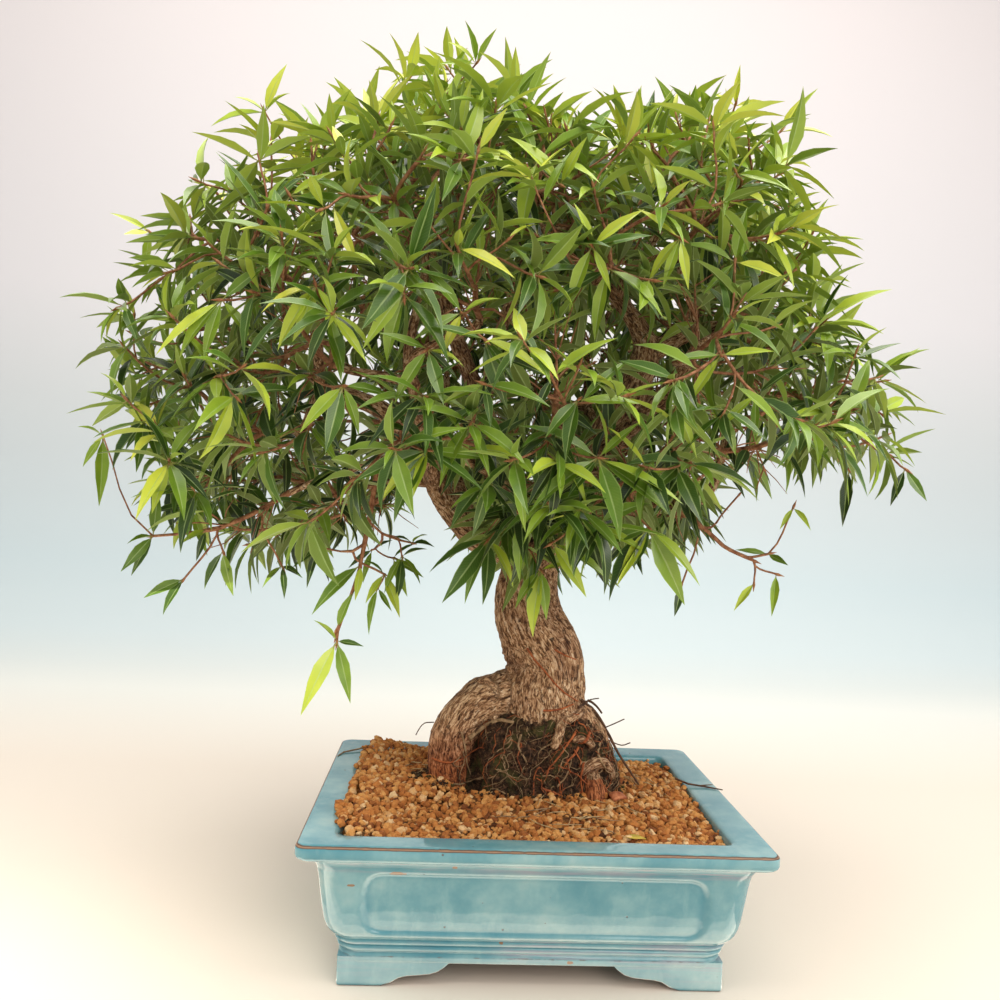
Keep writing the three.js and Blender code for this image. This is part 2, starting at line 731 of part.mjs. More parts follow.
// Grows a leaf out of a face, or closes the face when there is no room for one.
function growLeaf(skin, face, axis, lean, random, owner, terminal = false) {
  const out = terminal ? axis.clone() : faceNormal(skin, face);
  const base = faceMiddle(skin, face);
  const length = LEAF_LENGTH * (0.9 + 0.22 * random());
  const width = LEAF_WIDTH * (0.9 + 0.2 * random());
  const arch = 0.12 + 0.1 * random();
  const leans = terminal ? [0] : [lean, lean - 0.3, lean + 0.3];
  for (const tilt of leans) {
    const along = axis.clone().multiplyScalar(Math.cos(tilt)).addScaledVector(out, Math.sin(tilt));
    along.z -= droopAt(base.z) * (terminal ? 0.5 : 1);
    along.normalize();
    const away = along.dot(out);
    if (away < 0.3) {
      along.addScaledVector(out, 0.45 - away).normalize();
    }
    const normal = UP.clone().multiplyScalar(0.9).addScaledVector(axis, 0.5);
    normal.addScaledVector(along, -normal.dot(along));
    if (normal.lengthSq() > 0.02) {
      const leaf = leafShape(base, along, normal.normalize(), length, width, arch);
      if (isClear(leaf.segments, owner) && !meets(leaf.blade, owner)) {
        keep(leaf.segments, owner);
        keepBody(leaf.blade, owner);
        const lower = drawOut(skin, face, leaf.rows[0], along);
        const upper = drawOut(skin, lower.top, leaf.rows[1], along);
        skin.triangles.push(...lower.sides, ...upper.sides);
        closeTip(skin, upper.top, leaf.tip);
        return true;
      }
    }
  }
  if (terminal) {
    closeTip(skin, face, base.clone().addScaledVector(axis, 4));
  } else {
    skin.triangles.push(face);
  }
  return false;
}

// A star of leaves round the end of a twig: one from each side, one from the tip.
function rosette(skin, face, at, axis, random, owner) {
  const ring = twigRing(at.clone().addScaledVector(axis, 4.5), axis, 0.9, random() * 2);
  const end = drawOut(skin, face, ring, axis);
  const low = random() < 0.5 ? 0 : 1;
  end.sides.forEach((side, i) => {
    if (i % 2 === low) {
      growLeaf(skin, side, axis, 0.95 + 0.35 * random(), random, owner);
    } else {
      skin.triangles.push(side);
    }
  });
  growLeaf(skin, end.top, axis, 0, random, owner, true);
}

// Follows a path of places with a thinning twig and returns its last face.
function growTwig(skin, face, path, thick, thin, roll) {
  let top = face;
  for (let i = 1; i < path.length; i += 1) {
    const along = path[Math.min(i + 1, path.length - 1)].clone().sub(path[i - 1]).normalize();
    const radius = thick + ((thin - thick) * i) / (path.length - 1);
    const step = drawOut(skin, top, twigRing(path[i], along, radius, roll), along);
    skin.triangles.push(...step.sides);
    top = step.top;
  }
  return top;
}

function twigSegments(path, thick, thin) {
  return segmentsOf(path.map((at, i) => ({ at, radius: thick + ((thin - thick) * i) / (path.length - 1) })));
}

// One spray: a stub that goes on from the branch, side twigs, and a star of leaves on each.
function spray(base, targets, index) {
  const owner = 'spray ' + index;
  const random = makeRandom(1000 + 77 * index);
  const start = base.at.clone().addScaledVector(base.out, FIT_GAP);
  const end = base.at.clone().addScaledVector(base.out, 10);
  const stub = startSkin(twigRing(start, base.out, BRANCH_TIP_RADIUS, 0));
  keep([{ a: start, b: end, radius: BRANCH_TIP_RADIUS }], owner);
  const { top, sides } = drawOut(stub, stub.top, twigRing(end, base.out, BRANCH_TIP_RADIUS * 0.8, 0), base.out);
  if (base.hanging) {
    stub.triangles.push(...sides);
    hangingTwig(stub, top, [end, ...base.hanging.path.slice(1)], random, owner);
    return solid(stub.points, stub.triangles);
  }
  const open = sides.filter((side, i) => i % 2 === 1);
  stub.triangles.push(...sides.filter((side, i) => i % 2 === 0));
  const inLine = (target) => target.clone().sub(end).normalize().dot(base.out);
  const wanted = [...targets].sort((a, b) => inLine(b) - inLine(a));
  let terminal = top;
  for (const target of wanted) {
    const face = terminal || bestFace(stub, open, target);
    const path = face && twigPath(stub, face, base, target, owner);
    if (path) {
      keep(twigSegments(path, TWIG_RADIUS, 1.05), owner);
      const last = growTwig(stub, face, path, TWIG_RADIUS + 0.3, 1.1, random() * 2);
      const axis = path[path.length - 1].clone().sub(path[path.length - 2]).normalize();
      rosette(stub, last, target, axis, random, owner);
      if (terminal) {
        terminal = null;
      } else {
        open.splice(open.indexOf(face), 1);
      }
    }
  }
  if (terminal) {
    closeTip(stub, terminal, end.clone().addScaledVector(base.out, 6));
  }
  stub.triangles.push(...open);
  return solid(stub.points, stub.triangles);
}

function bestFace(skin, faces, target) {
  let best = null;
  let bestFit = 0.05;
  for (const face of faces) {
    const fit = faceNormal(skin, face).dot(target.clone().sub(faceMiddle(skin, face)).normalize());
    if (fit > bestFit) {
      bestFit = fit;
      best = face;
    }
  }
  return best;
}

// A clear way from a face of the stub to the middle of a leaf star, or nothing.
function twigPath(skin, face, base, target, owner) {
  const start = faceMiddle(skin, face);
  const out = faceNormal(skin, face);
  const heading = target.clone().sub(start).normalize();
  const arrive = heading.clone().add(point(0, 0, 0.35)).normalize();
  const first = start.clone().addScaledVector(out, 3.5).addScaledVector(heading, 3);
  for (const way of [0, 0.3, -0.3, 0.6, -0.6, 0.9, -0.9]) {
    const sideways = heading.clone().cross(UP).normalize().multiplyScalar(way);
    const leave = heading.clone().addScaledVector(out, 0.4).add(sideways).normalize();
    const rest = bend(first, leave, target, arrive, 2);
    const body = tube(rest.map((at) => ({ at, radius: TWIG_RADIUS + 0.3 })), 4);
    if (isClear(twigSegments(rest, TWIG_RADIUS, 1.05), owner) && !meets(body, owner)) {
      keepBody(tube(rest.slice(0, 2).map((at) => ({ at, radius: TWIG_RADIUS })), 4), owner);
      return [start, ...rest];
    }
  }
  return null;
}

// A low twig that hangs out of the crown: one leaf at each bend, and a star at the end.
function hangingTwig(skin, face, path, random, owner) {
  keep(twigSegments(path, TWIG_RADIUS, 1.05), owner);
  let top = face;
  path.slice(1).forEach((at, i) => {
    const along = at.clone().sub(path[i]).normalize();
    const radius = TWIG_RADIUS - 0.18 * i;
    const stretch = drawOut(skin, top, twigRing(at, along, radius, 0), along);
    skin.triangles.push(...stretch.sides);
    top = stretch.top;
    if (i < 2) {
      const node = drawOut(skin, top, twigRing(at.clone().addScaledVector(along, 4), along, radius * 0.9, 0), along);
      node.sides.forEach((side, k) => {
        if (k === 5 - 2 * i) {
          growLeaf(skin, side, along, 1.0, random, owner);
        } else {
          skin.triangles.push(side);
        }
      });
      top = node.top;
    }
  });
  const axis = path[3].clone().sub(path[2]).normalize();
  rosette(skin, top, path[3], axis, random, owner);
}

// Leaf stars spread evenly over the crown, each given to the nearest spray that has room.
function shareTargets(bases) {
  const count = TARGET_COUNT;
  const shares = bases.map(() => []);
  for (let i = 0; i < count; i += 1) {
    const direction = spiralDirection(i, count, 1.1);
    const under = direction.z < -0.7 && direction.y > -0.25;
    if (!under) {
      const inset = LEAF_LENGTH * (0.93 + 0.26 * Math.abs(direction.z)) + (i % 3 === 2 ? 46 : 0);
      const target = fromCrown(direction, reach(direction) - inset);
      let best = -1;
      let bestSize = 190;
      bases.forEach((base, k) => {
        const size = base.at.distanceTo(target) + 6 * shares[k].length;
        if (!base.hanging && shares[k].length < STARS_PER_SPRAY && size < bestSize) {
          bestSize = size;
          best = k;
        }
      });
      if (best >= 0) {
        shares[best].push(target);
      }
    }
  }
  return shares;
}

// The wood with every radius made larger by `extra`, so that a fat copy can cut its own socket.
function wood(branches, extra) {
  const fatten = (stops) => stops.map(({ at, radius }) => ({ at, radius: radius + extra }));
  let body = tube(fatten(TRUNK), 12, 0.05, 0.86);
  ROOTS.forEach((stops) => { body = body.add(tube(fatten(stops), 8, 0.05)); });
  if (branches) {
    LIMBS.forEach((stops) => { body = body.add(tube(stops, 6, 0.04)); });
    branches.forEach((stops) => { body = body.add(tube(stops, 4)); });
  }
  return body;
}

// The dark mound of old soil and roots, with a plug that stands in the hole in the granules.
function rootBall() {
  const sides = 26;
  const plug = FIT_GAP + 0.25;
  const levels = [
    [HOLE.bottom + FIT_GAP, HOLE.radiusX - plug, HOLE.radiusY - plug, HOLE.x, HOLE.y],
    [SOIL_EDGE + 4, HOLE.radiusX - plug, HOLE.radiusY - plug, HOLE.x, HOLE.y],
    [SOIL_EDGE + 15, 86, 43, -1, 13.5],
    [130, 80, 41, 1, 13],
    [145, 71, 38, 6, 13],
    [160, 62, 34.5, 9, 14],
    [173, 50, 29, 11, 15],
    [180, 34, 20, 12, 15],
  ];
  const rings = levels.map(([z, radiusX, radiusY, x, y], level) => {
    const ring = ellipseRing(x, y, z, radiusX, radiusY, sides);
    if (level > 1) {
      ring.forEach((p) => {
        const rough = 0.985 + 0.035 * Math.sin(p.x * 0.41 + p.z * 0.23) * Math.sin(p.y * 0.57 - p.z * 0.31);
        p.set(x + (p.x - x) * rough, y + (p.y - y) * rough, p.z);
      });
    }
    return ring;
  });
  return largest(loft(rings).subtract(wood(null, FIT_GAP + 0.1)));
}

function build() {
  const group = new THREE.Group();
  group.name = 'willow_leaf_fig_bonsai';
  group.add(toMesh('pot', pot(), 0x62b4c6, 0.2));
  group.add(toMesh('soil', soil(), 0xb07c40, 0.95));
  group.add(toMesh('root_ball', rootBall(), 0x2e211a, 0.95));
  group.add(toMesh('drain_mesh_left', screenBody(-DRAIN_X), 0x2b2b2b, 0.6));
  group.add(toMesh('drain_mesh_right', screenBody(DRAIN_X), 0x2b2b2b, 0.6));

  const bases = sprayBases();
  const branches = growBranches(bases);
  [TRUNK, ...ROOTS, ...LIMBS, ...branches].forEach((stops) => keep(segmentsOf(stops), 'wood'));
  const trunk = largest(wood(branches, 0));
  group.add(toMesh('trunk', trunk, 0x8c6a50, 0.9));

  const shares = shareTargets(bases);
  let number = 0;
  bases.forEach((base, i) => {
    const body = spray(base, shares[i], i);
    number += 1;
    group.add(toMesh('spray_' + String(number).padStart(2, '0'), body, 0x3f7a2e, 0.45));
  });

  // The finished part stands with the middle of its box over the origin.
  const bounds = new THREE.Box3().setFromObject(group);
  const shift = bounds.getCenter(new THREE.Vector3());
  group.children.forEach((mesh) => mesh.geometry.translate(-shift.x, -shift.y, -bounds.min.z));
  return group;
}

export default build();
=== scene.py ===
# A willow leaf fig bonsai in its glazed pot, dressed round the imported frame.
# Pieces are modelled in millimetres from the floor under the pot's middle, front towards -Y,
# and are moved into the part's frame, in metres, as each one is finished.

import math
import random

import bmesh
import bpy
import numpy as np
from mathutils import Matrix, Vector, noise
from mathutils.bvhtree import BVHTree


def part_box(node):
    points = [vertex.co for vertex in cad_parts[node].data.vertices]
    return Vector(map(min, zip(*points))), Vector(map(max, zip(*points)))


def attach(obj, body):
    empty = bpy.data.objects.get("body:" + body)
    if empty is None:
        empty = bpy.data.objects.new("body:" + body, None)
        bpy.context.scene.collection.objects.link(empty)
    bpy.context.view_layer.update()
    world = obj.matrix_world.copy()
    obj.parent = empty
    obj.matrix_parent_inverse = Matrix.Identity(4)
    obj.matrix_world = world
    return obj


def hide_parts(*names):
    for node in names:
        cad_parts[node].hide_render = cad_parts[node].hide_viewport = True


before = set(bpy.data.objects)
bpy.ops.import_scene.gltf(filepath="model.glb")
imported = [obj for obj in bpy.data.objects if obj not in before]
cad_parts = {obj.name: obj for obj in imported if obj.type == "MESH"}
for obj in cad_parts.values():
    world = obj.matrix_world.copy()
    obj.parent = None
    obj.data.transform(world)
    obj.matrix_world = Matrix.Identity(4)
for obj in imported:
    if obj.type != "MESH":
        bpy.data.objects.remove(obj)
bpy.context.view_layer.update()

# The pot's driving dimensions, as in the part's source.
RIM_WIDTH = 350
RIM_DEPTH = 285
POT_HEIGHT = 114
FOOT_HEIGHT = 17
RIM_FLAT = 28
WALL_CORNER = 17
RIM_CORNER = 8
BASE_INSET = 34
FOOT_INSET = 30.6
FOOT_ARMS = (84, 68)
FOOT_THICKNESS = 14
DRAIN_HOLES = [(x, 0, 14) for x in (-70, 70)]
WIRE_HOLES = [(x, y, 3) for x in (-35, 35) for y in (-60, 60)]
SOIL_EDGE = POT_HEIGHT - 8
SOIL_MOUND = 14
GRANULE_PITCH = 5
SPILLED_ON_RIM = 95
SPILLED_IN_HEAP = 12
CRUMBS_ON_BALL = 850
CRUMBS_AT_FOOT = 260
ROOTLET_COUNT = 430
PANEL_DEPTH = 2.6
PANEL_INSET = 21
PANEL = {"half_x": 130, "half_y": 97, "z": 66.5, "half_z": 24.5, "corner": 19}
HOLE = {"x": -2, "y": 14, "radius_x": 90, "radius_y": 46}

# The crown: its middle, and how far the leaf tips reach from it in the front view,
# every 15 degrees from +X turning up to +Z.
CROWN = np.array([-15.0, 10.0, 470.0])
CROWN_REACH = [
    306, 246, 272, 298, 300, 206, 236, 292, 270, 276, 314, 332,
    352, 332, 350, 268, 215, 190, 205, 210, 225, 250, 255, 325,
]
REACH_SCALE = 1.04
CROWN_FRONT = 262
CROWN_BACK = 278
CROWN_FULLNESS = 2.3
BRANCH_TIP_RADIUS = 2.8
SPRAY_COUNT = 47
GOLDEN_ANGLE = math.pi * (3 - math.sqrt(5))

# The camera: where it stands, how it is turned, and its focal length where the picture is this wide.
VIEW_PLACE = np.array([-75.0, -779.0, 361.0])
VIEW_YAW, VIEW_PITCH, VIEW_ROLL = (math.radians(a) for a in (-3.03, -0.13, 2.62))
VIEW_FOCAL = 900
VIEW_WIDTH = 1000

pot_low, pot_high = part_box("pot")
POT_MIDDLE = Vector(((pot_low.x + pot_high.x) / 2, (pot_low.y + pot_high.y) / 2, pot_low.z))
TO_PART = Matrix.Translation(POT_MIDDLE) @ Matrix.Scale(0.001, 4)


def unit(v):
    return v / np.linalg.norm(v)


def blend_in(value, low, high):
    """0 below low, 1 above high, and a smooth step between."""
    t = min(max((value - low) / (high - low), 0.0), 1.0)
    return t * t * (3 - 2 * t)


def view_axes():
    """The camera's right, up and ahead directions."""
    right_flat = np.array([math.cos(VIEW_YAW), math.sin(VIEW_YAW), 0])
    ahead_flat = np.array([-math.sin(VIEW_YAW), math.cos(VIEW_YAW), 0])
    top = np.array([0, 0, 1])
    ahead = ahead_flat * math.cos(VIEW_PITCH) - top * math.sin(VIEW_PITCH)
    up_flat = ahead_flat * math.sin(VIEW_PITCH) + top * math.cos(VIEW_PITCH)
    right = right_flat * math.cos(VIEW_ROLL) + up_flat * math.sin(VIEW_ROLL)
    up = up_flat * math.cos(VIEW_ROLL) - right_flat * math.sin(VIEW_ROLL)
    return right, up, ahead


def view_ray(u, v):
    """The direction in which the camera sees a place in its picture."""
    right, up, ahead = view_axes()
    return unit(ahead * VIEW_FOCAL + right * (u - VIEW_WIDTH / 2) - up * (v - VIEW_WIDTH / 2))


def seen_at(p):
    """Where the camera's picture shows a point."""
    right, up, ahead = view_axes()
    d = p - VIEW_PLACE
    depth = d @ ahead
    middle = VIEW_WIDTH / 2
    return middle + VIEW_FOCAL * (d @ right) / depth, middle - VIEW_FOCAL * (d @ up) / depth


# Materials

def colour(code):
    """An sRGB hex code as a linear colour."""
    parts = [int(code[i:i + 2], 16) / 255 for i in (1, 3, 5)]
    return (*(p / 12.92 if p <= 0.04045 else ((p + 0.055) / 1.055) ** 2.4 for p in parts), 1.0)


def mm(size):
    """The texture scale that makes a pattern's features about this many millimetres wide."""
    return 1000 / size


def add_node(tree, kind, settings=None, links=None):
    """Adds one node. Settings are its properties, ramp stops or input values; links feed its inputs."""
    node = tree.nodes.new(kind)
    for name, value in (settings or {}).items():
        if name == "stops":
            ramp = node.color_ramp
            while len(ramp.elements) < len(value):
                ramp.elements.new(0.5)
            for element, (place, code) in zip(ramp.elements, value):
                element.position = place
                element.color = colour(code)
        elif isinstance(name, int) or name in node.inputs:
            node.inputs[name].default_value = value
        else:
            setattr(node, name, value)
    for name, output in (links or {}).items():
        tree.links.new(output, node.inputs[name])
    return node


def new_material(name, **surface):
    """A material with one Principled shader, whose constant values are set on its own sockets."""
    material = bpy.data.materials.new(name)
    material.use_nodes = True
    tree = material.node_tree
    tree.nodes.clear()
    shader = add_node(tree, "ShaderNodeBsdfPrincipled", {k.replace("_", " "): v for k, v in surface.items()})
    add_node(tree, "ShaderNodeOutputMaterial", links={"Surface": shader.outputs["BSDF"]})
    return material, tree, shader


def feed(tree, shader, **outputs):
    """Links node outputs to the shader's sockets."""
    for name, output in outputs.items():
        tree.links.new(output, shader.inputs[name.replace("_", " ")])


def own_place(tree):
    return add_node(tree, "ShaderNodeTexCoord").outputs["Object"]


def marked(tree, name):
    """A value that the mesh carries for its material."""
    return add_node(tree, "ShaderNodeAttribute", {"attribute_name": name}).outputs["Fac"]


def stretched(tree, place, scale):
    return add_node(tree, "ShaderNodeMapping", {"Scale": scale}, {"Vector": place}).outputs["Vector"]


def clouded(tree, place, size, detail, roughness=0.5, distortion=0.0):
    """Noise with features about this many millimetres wide."""
    settings = {"Scale": mm(size), "Detail": detail, "Roughness": roughness, "Distortion": distortion}
    return add_node(tree, "ShaderNodeTexNoise", settings, {"Vector": place}).outputs["Fac"]


def ramp(tree, value, *stops):
    """The colour at a value between stops of (value, code)."""
    return add_node(tree, "ShaderNodeValToRGB", {"stops": stops}, {"Fac": value}).outputs["Color"]


def spread(tree, value, low, high, top=1.0, bottom=0.0):
    """Stretches low to high into bottom to top, and holds the ends."""
    settings = {"From Min": low, "From Max": high, "To Min": bottom, "To Max": top}
    return add_node(tree, "ShaderNodeMapRange", settings, {"Value": value}).outputs["Result"]


def tinted(tree, under, code, amount, blend="MIX"):
    """Lays a colour over another, as far as the amount says."""
    settings = {"data_type": "RGBA", "blend_type": blend, 7: colour(code)}
    return add_node(tree, "ShaderNodeMix", settings, {0: amount, 6: under}).outputs[2]


def maths(tree, operation, *terms):
    """One sum on numbers and node outputs."""
    numbers = {slot: term for slot, term in enumerate(terms) if isinstance(term, float)}
    outputs = {slot: term for slot, term in enumerate(terms) if slot not in numbers}
    return add_node(tree, "ShaderNodeMath", {"operation": operation, **numbers}, outputs).outputs[0]


def bumped(tree, height, strength, distance, under=None, inward=False):
    """A normal that follows a height in metres, on top of another normal if there is one."""
    links = {"Height": height, "Normal": under} if under else {"Height": height}
    settings = {"Strength": strength, "Distance": distance, "invert": inward}
    return add_node(tree, "ShaderNodeBump", settings, links).outputs["Normal"]


# Chips in the glaze of the front: the middle of each, and its half width and height.
CHIPS = [
    (-102, 90.6, 6.5, 1.7), (-135, 81, 3, 1), (-61, 97, 2, 1.2), (-24, 36, 1.6, 1.4), (28, 20.5, 2.6, 1.5),
]
CHIP_REACH = 60


def add_chips(tree, place, glaze):
    """Lets the tan clay show through the glaze where it has chipped."""
    for x, z, half_x, half_z in CHIPS:
        middle = TO_PART @ Vector((x, 0, z))
        from_chip = add_node(tree, "ShaderNodeMapping", {
            "vector_type": "TEXTURE", "Location": (middle.x, -RIM_DEPTH / 2000, middle.z),
            "Scale": (half_x / 1000, CHIP_REACH / 1000, half_z / 1000)}, {"Vector": place})
        away = add_node(tree, "ShaderNodeVectorMath", {"operation": "LENGTH"},
                        {0: from_chip.outputs["Vector"]})
        ragged = maths(tree, "ADD", away.outputs["Value"], clouded(tree, place, 2.5, 3))
        glaze = tinted(tree, glaze, "#8f7055", spread(tree, ragged, 1.55, 1.35))
    return glaze


def glazed_stoneware():
    """Stoneware under thick turquoise glaze: glassy, cloudy, deeper in hollows, broken brown on its edges."""
    material, tree, shader = new_material("glazed stoneware", IOR=1.53)
    place = own_place(tree)
    glaze = ramp(tree, clouded(tree, place, 62, 5, 0.6),
                 (0.33, "#518c9a"), (0.46, "#6499a4"), (0.57, "#7ba8af"), (0.70, "#96b7b8"))
    runs = clouded(tree, stretched(tree, place, (1, 1, 0.3)), 13, 4, 0.6)
    glaze = tinted(tree, glaze, "#9cc0c2", spread(tree, runs, 0.55, 0.78, 0.35))
    glaze = tinted(tree, glaze, "#2f8096", marked(tree, "pool"))
    # The brush left level streaks, in which the glaze is thin and turns lavender grey.
    brushed = clouded(tree, stretched(tree, place, (0.045, 0.045, 1)), 2.6, 3, 0.55)
    patches = spread(tree, clouded(tree, place, 95, 2), 0.4, 0.58)
    streaks = maths(tree, "MULTIPLY", maths(tree, "MULTIPLY", marked(tree, "thin"), patches),
                    spread(tree, brushed, 0.47, 0.6, 0.85))
    glaze = tinted(tree, glaze, "#9496a4", streaks)
    wear = maths(tree, "MULTIPLY_ADD", clouded(tree, place, 7, 3), 0.5, -0.25)
    edge = maths(tree, "ADD", marked(tree, "edge"), wear)
    broken = spread(tree, edge, 0.26, 0.4)
    glaze = tinted(tree, glaze, "#523c30", broken)
    glaze = tinted(tree, glaze, "#957358", spread(tree, edge, 0.6, 0.85))
    glaze = add_chips(tree, place, glaze)
    pins = add_node(tree, "ShaderNodeTexVoronoi", {"Scale": mm(21)}, {"Vector": place}).outputs["Distance"]
    pinholes = spread(tree, pins, 0.05, 0.025, 0.8)
    glaze = tinted(tree, glaze, "#5b4a41", pinholes)
    gloss = spread(tree, runs, 0.35, 0.7, 0.11, 0.04)
    # Where the glaze has broken to brown it is half matt.
    dulled = add_node(tree, "ShaderNodeMix", {"data_type": "FLOAT", 3: 0.5}, {0: broken, 2: gloss})
    wavy = bumped(tree, clouded(tree, place, 16, 2), 0.3, 0.0007)
    feed(tree, shader, Base_Color=glaze, Roughness=dulled.outputs[0],
         Normal=bumped(tree, pinholes, 0.8, 0.0005, under=wavy, inward=True))
    return material


def volcanic_granules():
    """Baked volcanic clay granules: dull, dusty ochre, each a little lighter or darker, with fine pores."""
    material, tree, shader = new_material("volcanic clay granules", Roughness=0.95, IOR=1.45)
    place = own_place(tree)
    mottled = maths(tree, "MULTIPLY_ADD", clouded(tree, place, 2.6, 4, 0.65), 0.4, marked(tree, "tone"))
    body = ramp(tree, mottled, (0.12, "#432410"), (0.34, "#884e25"), (0.56, "#b57338"), (0.78, "#cb9454"),
                (1.0, "#ddbb8c"))
    feed(tree, shader, Base_Color=body, Normal=bumped(tree, clouded(tree, place, 0.9, 3), 0.7, 0.0006))
    return material


def packed_granules():
    """The same granules seen in the gaps of the top layer, with a cell for each grain, painted darker as the
    shade between the grains above.
    """
    material, tree, shader = new_material("packed clay granules", Roughness=0.97, IOR=1.45)
    grains = add_node(tree, "ShaderNodeTexVoronoi", {"Scale": mm(4.5)}, {"Vector": own_place(tree)})
    split = add_node(tree, "ShaderNodeSeparateColor", links={"Color": grains.outputs["Color"]})
    body = ramp(tree, split.outputs["Red"], (0.0, "#3d2412"), (0.5, "#5f3b1d"), (1.0, "#855628"))
    domed = bumped(tree, grains.outputs["Distance"], 1.0, 0.002, inward=True)
    feed(tree, shader, Base_Color=body, Normal=domed)
    return material


def old_root_soil():
    """Old potting soil held by roots: near-black brown crumbs with olive moss in patches, quite matt."""
    material, tree, shader = new_material("old root soil and moss", Roughness=1.0, IOR=1.4)
    place = own_place(tree)
    soil = ramp(tree, clouded(tree, place, 3.5, 6, 0.75),
                (0.3, "#150f0b"), (0.45, "#322318"), (0.55, "#573d2a"), (0.66, "#866346"), (0.8, "#b28e6b"))
    mossy = tinted(tree, soil, "#5c6030", spread(tree, clouded(tree, place, 20, 5), 0.52, 0.66, 0.6))
    feed(tree, shader, Base_Color=mossy, Normal=bumped(tree, clouded(tree, place, 1.8, 5, 0.75), 1.0, 0.003))
    return material


def bark():
    """Grey-brown fig bark: short fine flakes along the wood, pale on the ridges and dark in the cracks."""
    material, tree, shader = new_material("fig bark", Roughness=0.88, IOR=1.45)
    fibre = add_node(tree, "ShaderNodeAttribute", {"attribute_name": "fibre"}).outputs["Vector"]
    strands = clouded(tree, stretched(tree, fibre, (1, 1, 0.32)), 1.9, 5, 0.66, 0.7)
    flakes = ramp(tree, strands,
                  (0.33, "#2c1a10"), (0.42, "#6d4d35"), (0.5, "#ae8a69"), (0.57, "#dabd9b"), (0.7, "#f4e8d4"))
    shade = ramp(tree, clouded(tree, own_place(tree), 30, 4, 0.6),
                 (0.36, "#a98463"), (0.5, "#d8c2a6"), (0.66, "#f6ecdc"))
    shaded = add_node(tree, "ShaderNodeMix", {"data_type": "RGBA", "blend_type": "MULTIPLY", 0: 0.65},
                      {6: flakes, 7: shade}).outputs[2]
    # Cracks lie across the flakes here and there.
    cracks = clouded(tree, stretched(tree, fibre, (1, 1, 0.7)), 4.2, 4, 0.6, 1.2)
    cracked = tinted(tree, shaded, "#372115", spread(tree, cracks, 0.45, 0.35, 0.85))
    feed(tree, shader, Base_Color=tinted(tree, cracked, "#e6ae8c", marked(tree, "damp"), "MULTIPLY"),
         Normal=bumped(tree, cracks, 0.8, 0.0012, under=bumped(tree, strands, 1.0, 0.001)))
    return material


def plain_wood(name, dark, light, size, roughness):
    """Thin wood: brown with paler flecks, too thin for its fibres to show."""
    material, tree, shader = new_material(name, Roughness=roughness, IOR=1.45)
    flecks = clouded(tree, own_place(tree), size, 4, 0.65)
    feed(tree, shader, Base_Color=ramp(tree, flecks, (0.35, dark), (0.68, light)),
         Normal=bumped(tree, flecks, 0.5, 0.0005))
    return material


def willow_leaf():
    """A fig's leathery leaf: soft gloss and green above with a fine pale midrib, dull grey-green below."""
    material, tree, shader = new_material("fig leaf", IOR=1.5, Coat_Weight=0.25, Coat_Roughness=0.22)
    where = add_node(tree, "ShaderNodeUVMap", {"uv_map": "leaf"})
    split = add_node(tree, "ShaderNodeSeparateXYZ", links={"Vector": where.outputs["UV"]})
    along = split.outputs["Y"]
    from_midrib = maths(tree, "ABSOLUTE", maths(tree, "MULTIPLY_ADD", split.outputs["X"], 2.0, -1.0))
    # The tone holds each leaf's own green and the painted shade given to leaves deep inside the crown.
    mottled = maths(tree, "MULTIPLY_ADD", clouded(tree, own_place(tree), 16, 3), 0.2, marked(tree, "tone"))
    leaf = ramp(tree, mottled, (0.06, "#1b300d"), (0.2, "#304e15"), (0.36, "#52771e"), (0.52, "#85a52f"),
                (0.70, "#b9ce3f"), (0.92, "#e4e858"))
    # The side veins of the real leaf are about 2 mm apart and leave the midrib at a steep angle.
    slanted = maths(tree, "MULTIPLY_ADD", from_midrib, -0.11, along)
    veins = spread(tree, maths(tree, "SINE", maths(tree, "MULTIPLY", slanted, 150.0)), 0.6, 1.0, 0.07)
    under = marked(tree, "under")
    for code, amount in (("#a3c272", veins),
                         ("#a1b752", maths(tree, "MULTIPLY", under, 0.4)),
                         ("#b4cc84", spread(tree, from_midrib, 0.13, 0.05, 0.55)),
                         ("#b9d17c", spread(tree, from_midrib, 0.88, 0.98, 0.42)),
                         ("#9a9a50", spread(tree, along, 0.13, 0.08))):
        leaf = tinted(tree, leaf, code, amount)
    feed(tree, shader, Base_Color=leaf, Roughness=spread(tree, under, 0.0, 1.0, 0.62, 0.32),
         Normal=bumped(tree, veins, 0.25, 0.0004))
    return material


def moulded_polypropylene():
    """Black polypropylene, injection moulded: a low even sheen and a faint grain."""
    material, tree, shader = new_material("moulded polypropylene", Roughness=0.5, IOR=1.49)
    grain = clouded(tree, own_place(tree), 1.5, 2)
    feed(tree, shader, Base_Color=ramp(tree, grain, (0.3, "#1b1c1d"), (0.7, "#2b2c2e")))
    return material


def sweep_paper():
    """Matt background paper, warm underfoot and turning to a cool pale blue and then lilac grey behind."""
    material, tree, shader = new_material("matt sweep paper", Roughness=1.0, Specular_IOR_Level=0.1)
    split = add_node(tree, "ShaderNodeSeparateXYZ", links={"Vector": own_place(tree)})
    along = maths(tree, "ADD", spread(tree, split.outputs["Y"], -1.0, 1.55, 0.4),
                  spread(tree, split.outputs["Z"], 0.0, 1.7, 0.6))
    feed(tree, shader, Base_Color=ramp(
        tree, along, (0.0, "#e4d9ca"), (0.22, "#e2d9cd"), (0.29, "#e6e8e2"), (0.37, "#d5e1e3"),
        (0.45, "#cddbdf"), (0.61, "#d5dadd"), (0.71, "#e1e0e4"), (1.0, "#e5e0e2")))
    return material


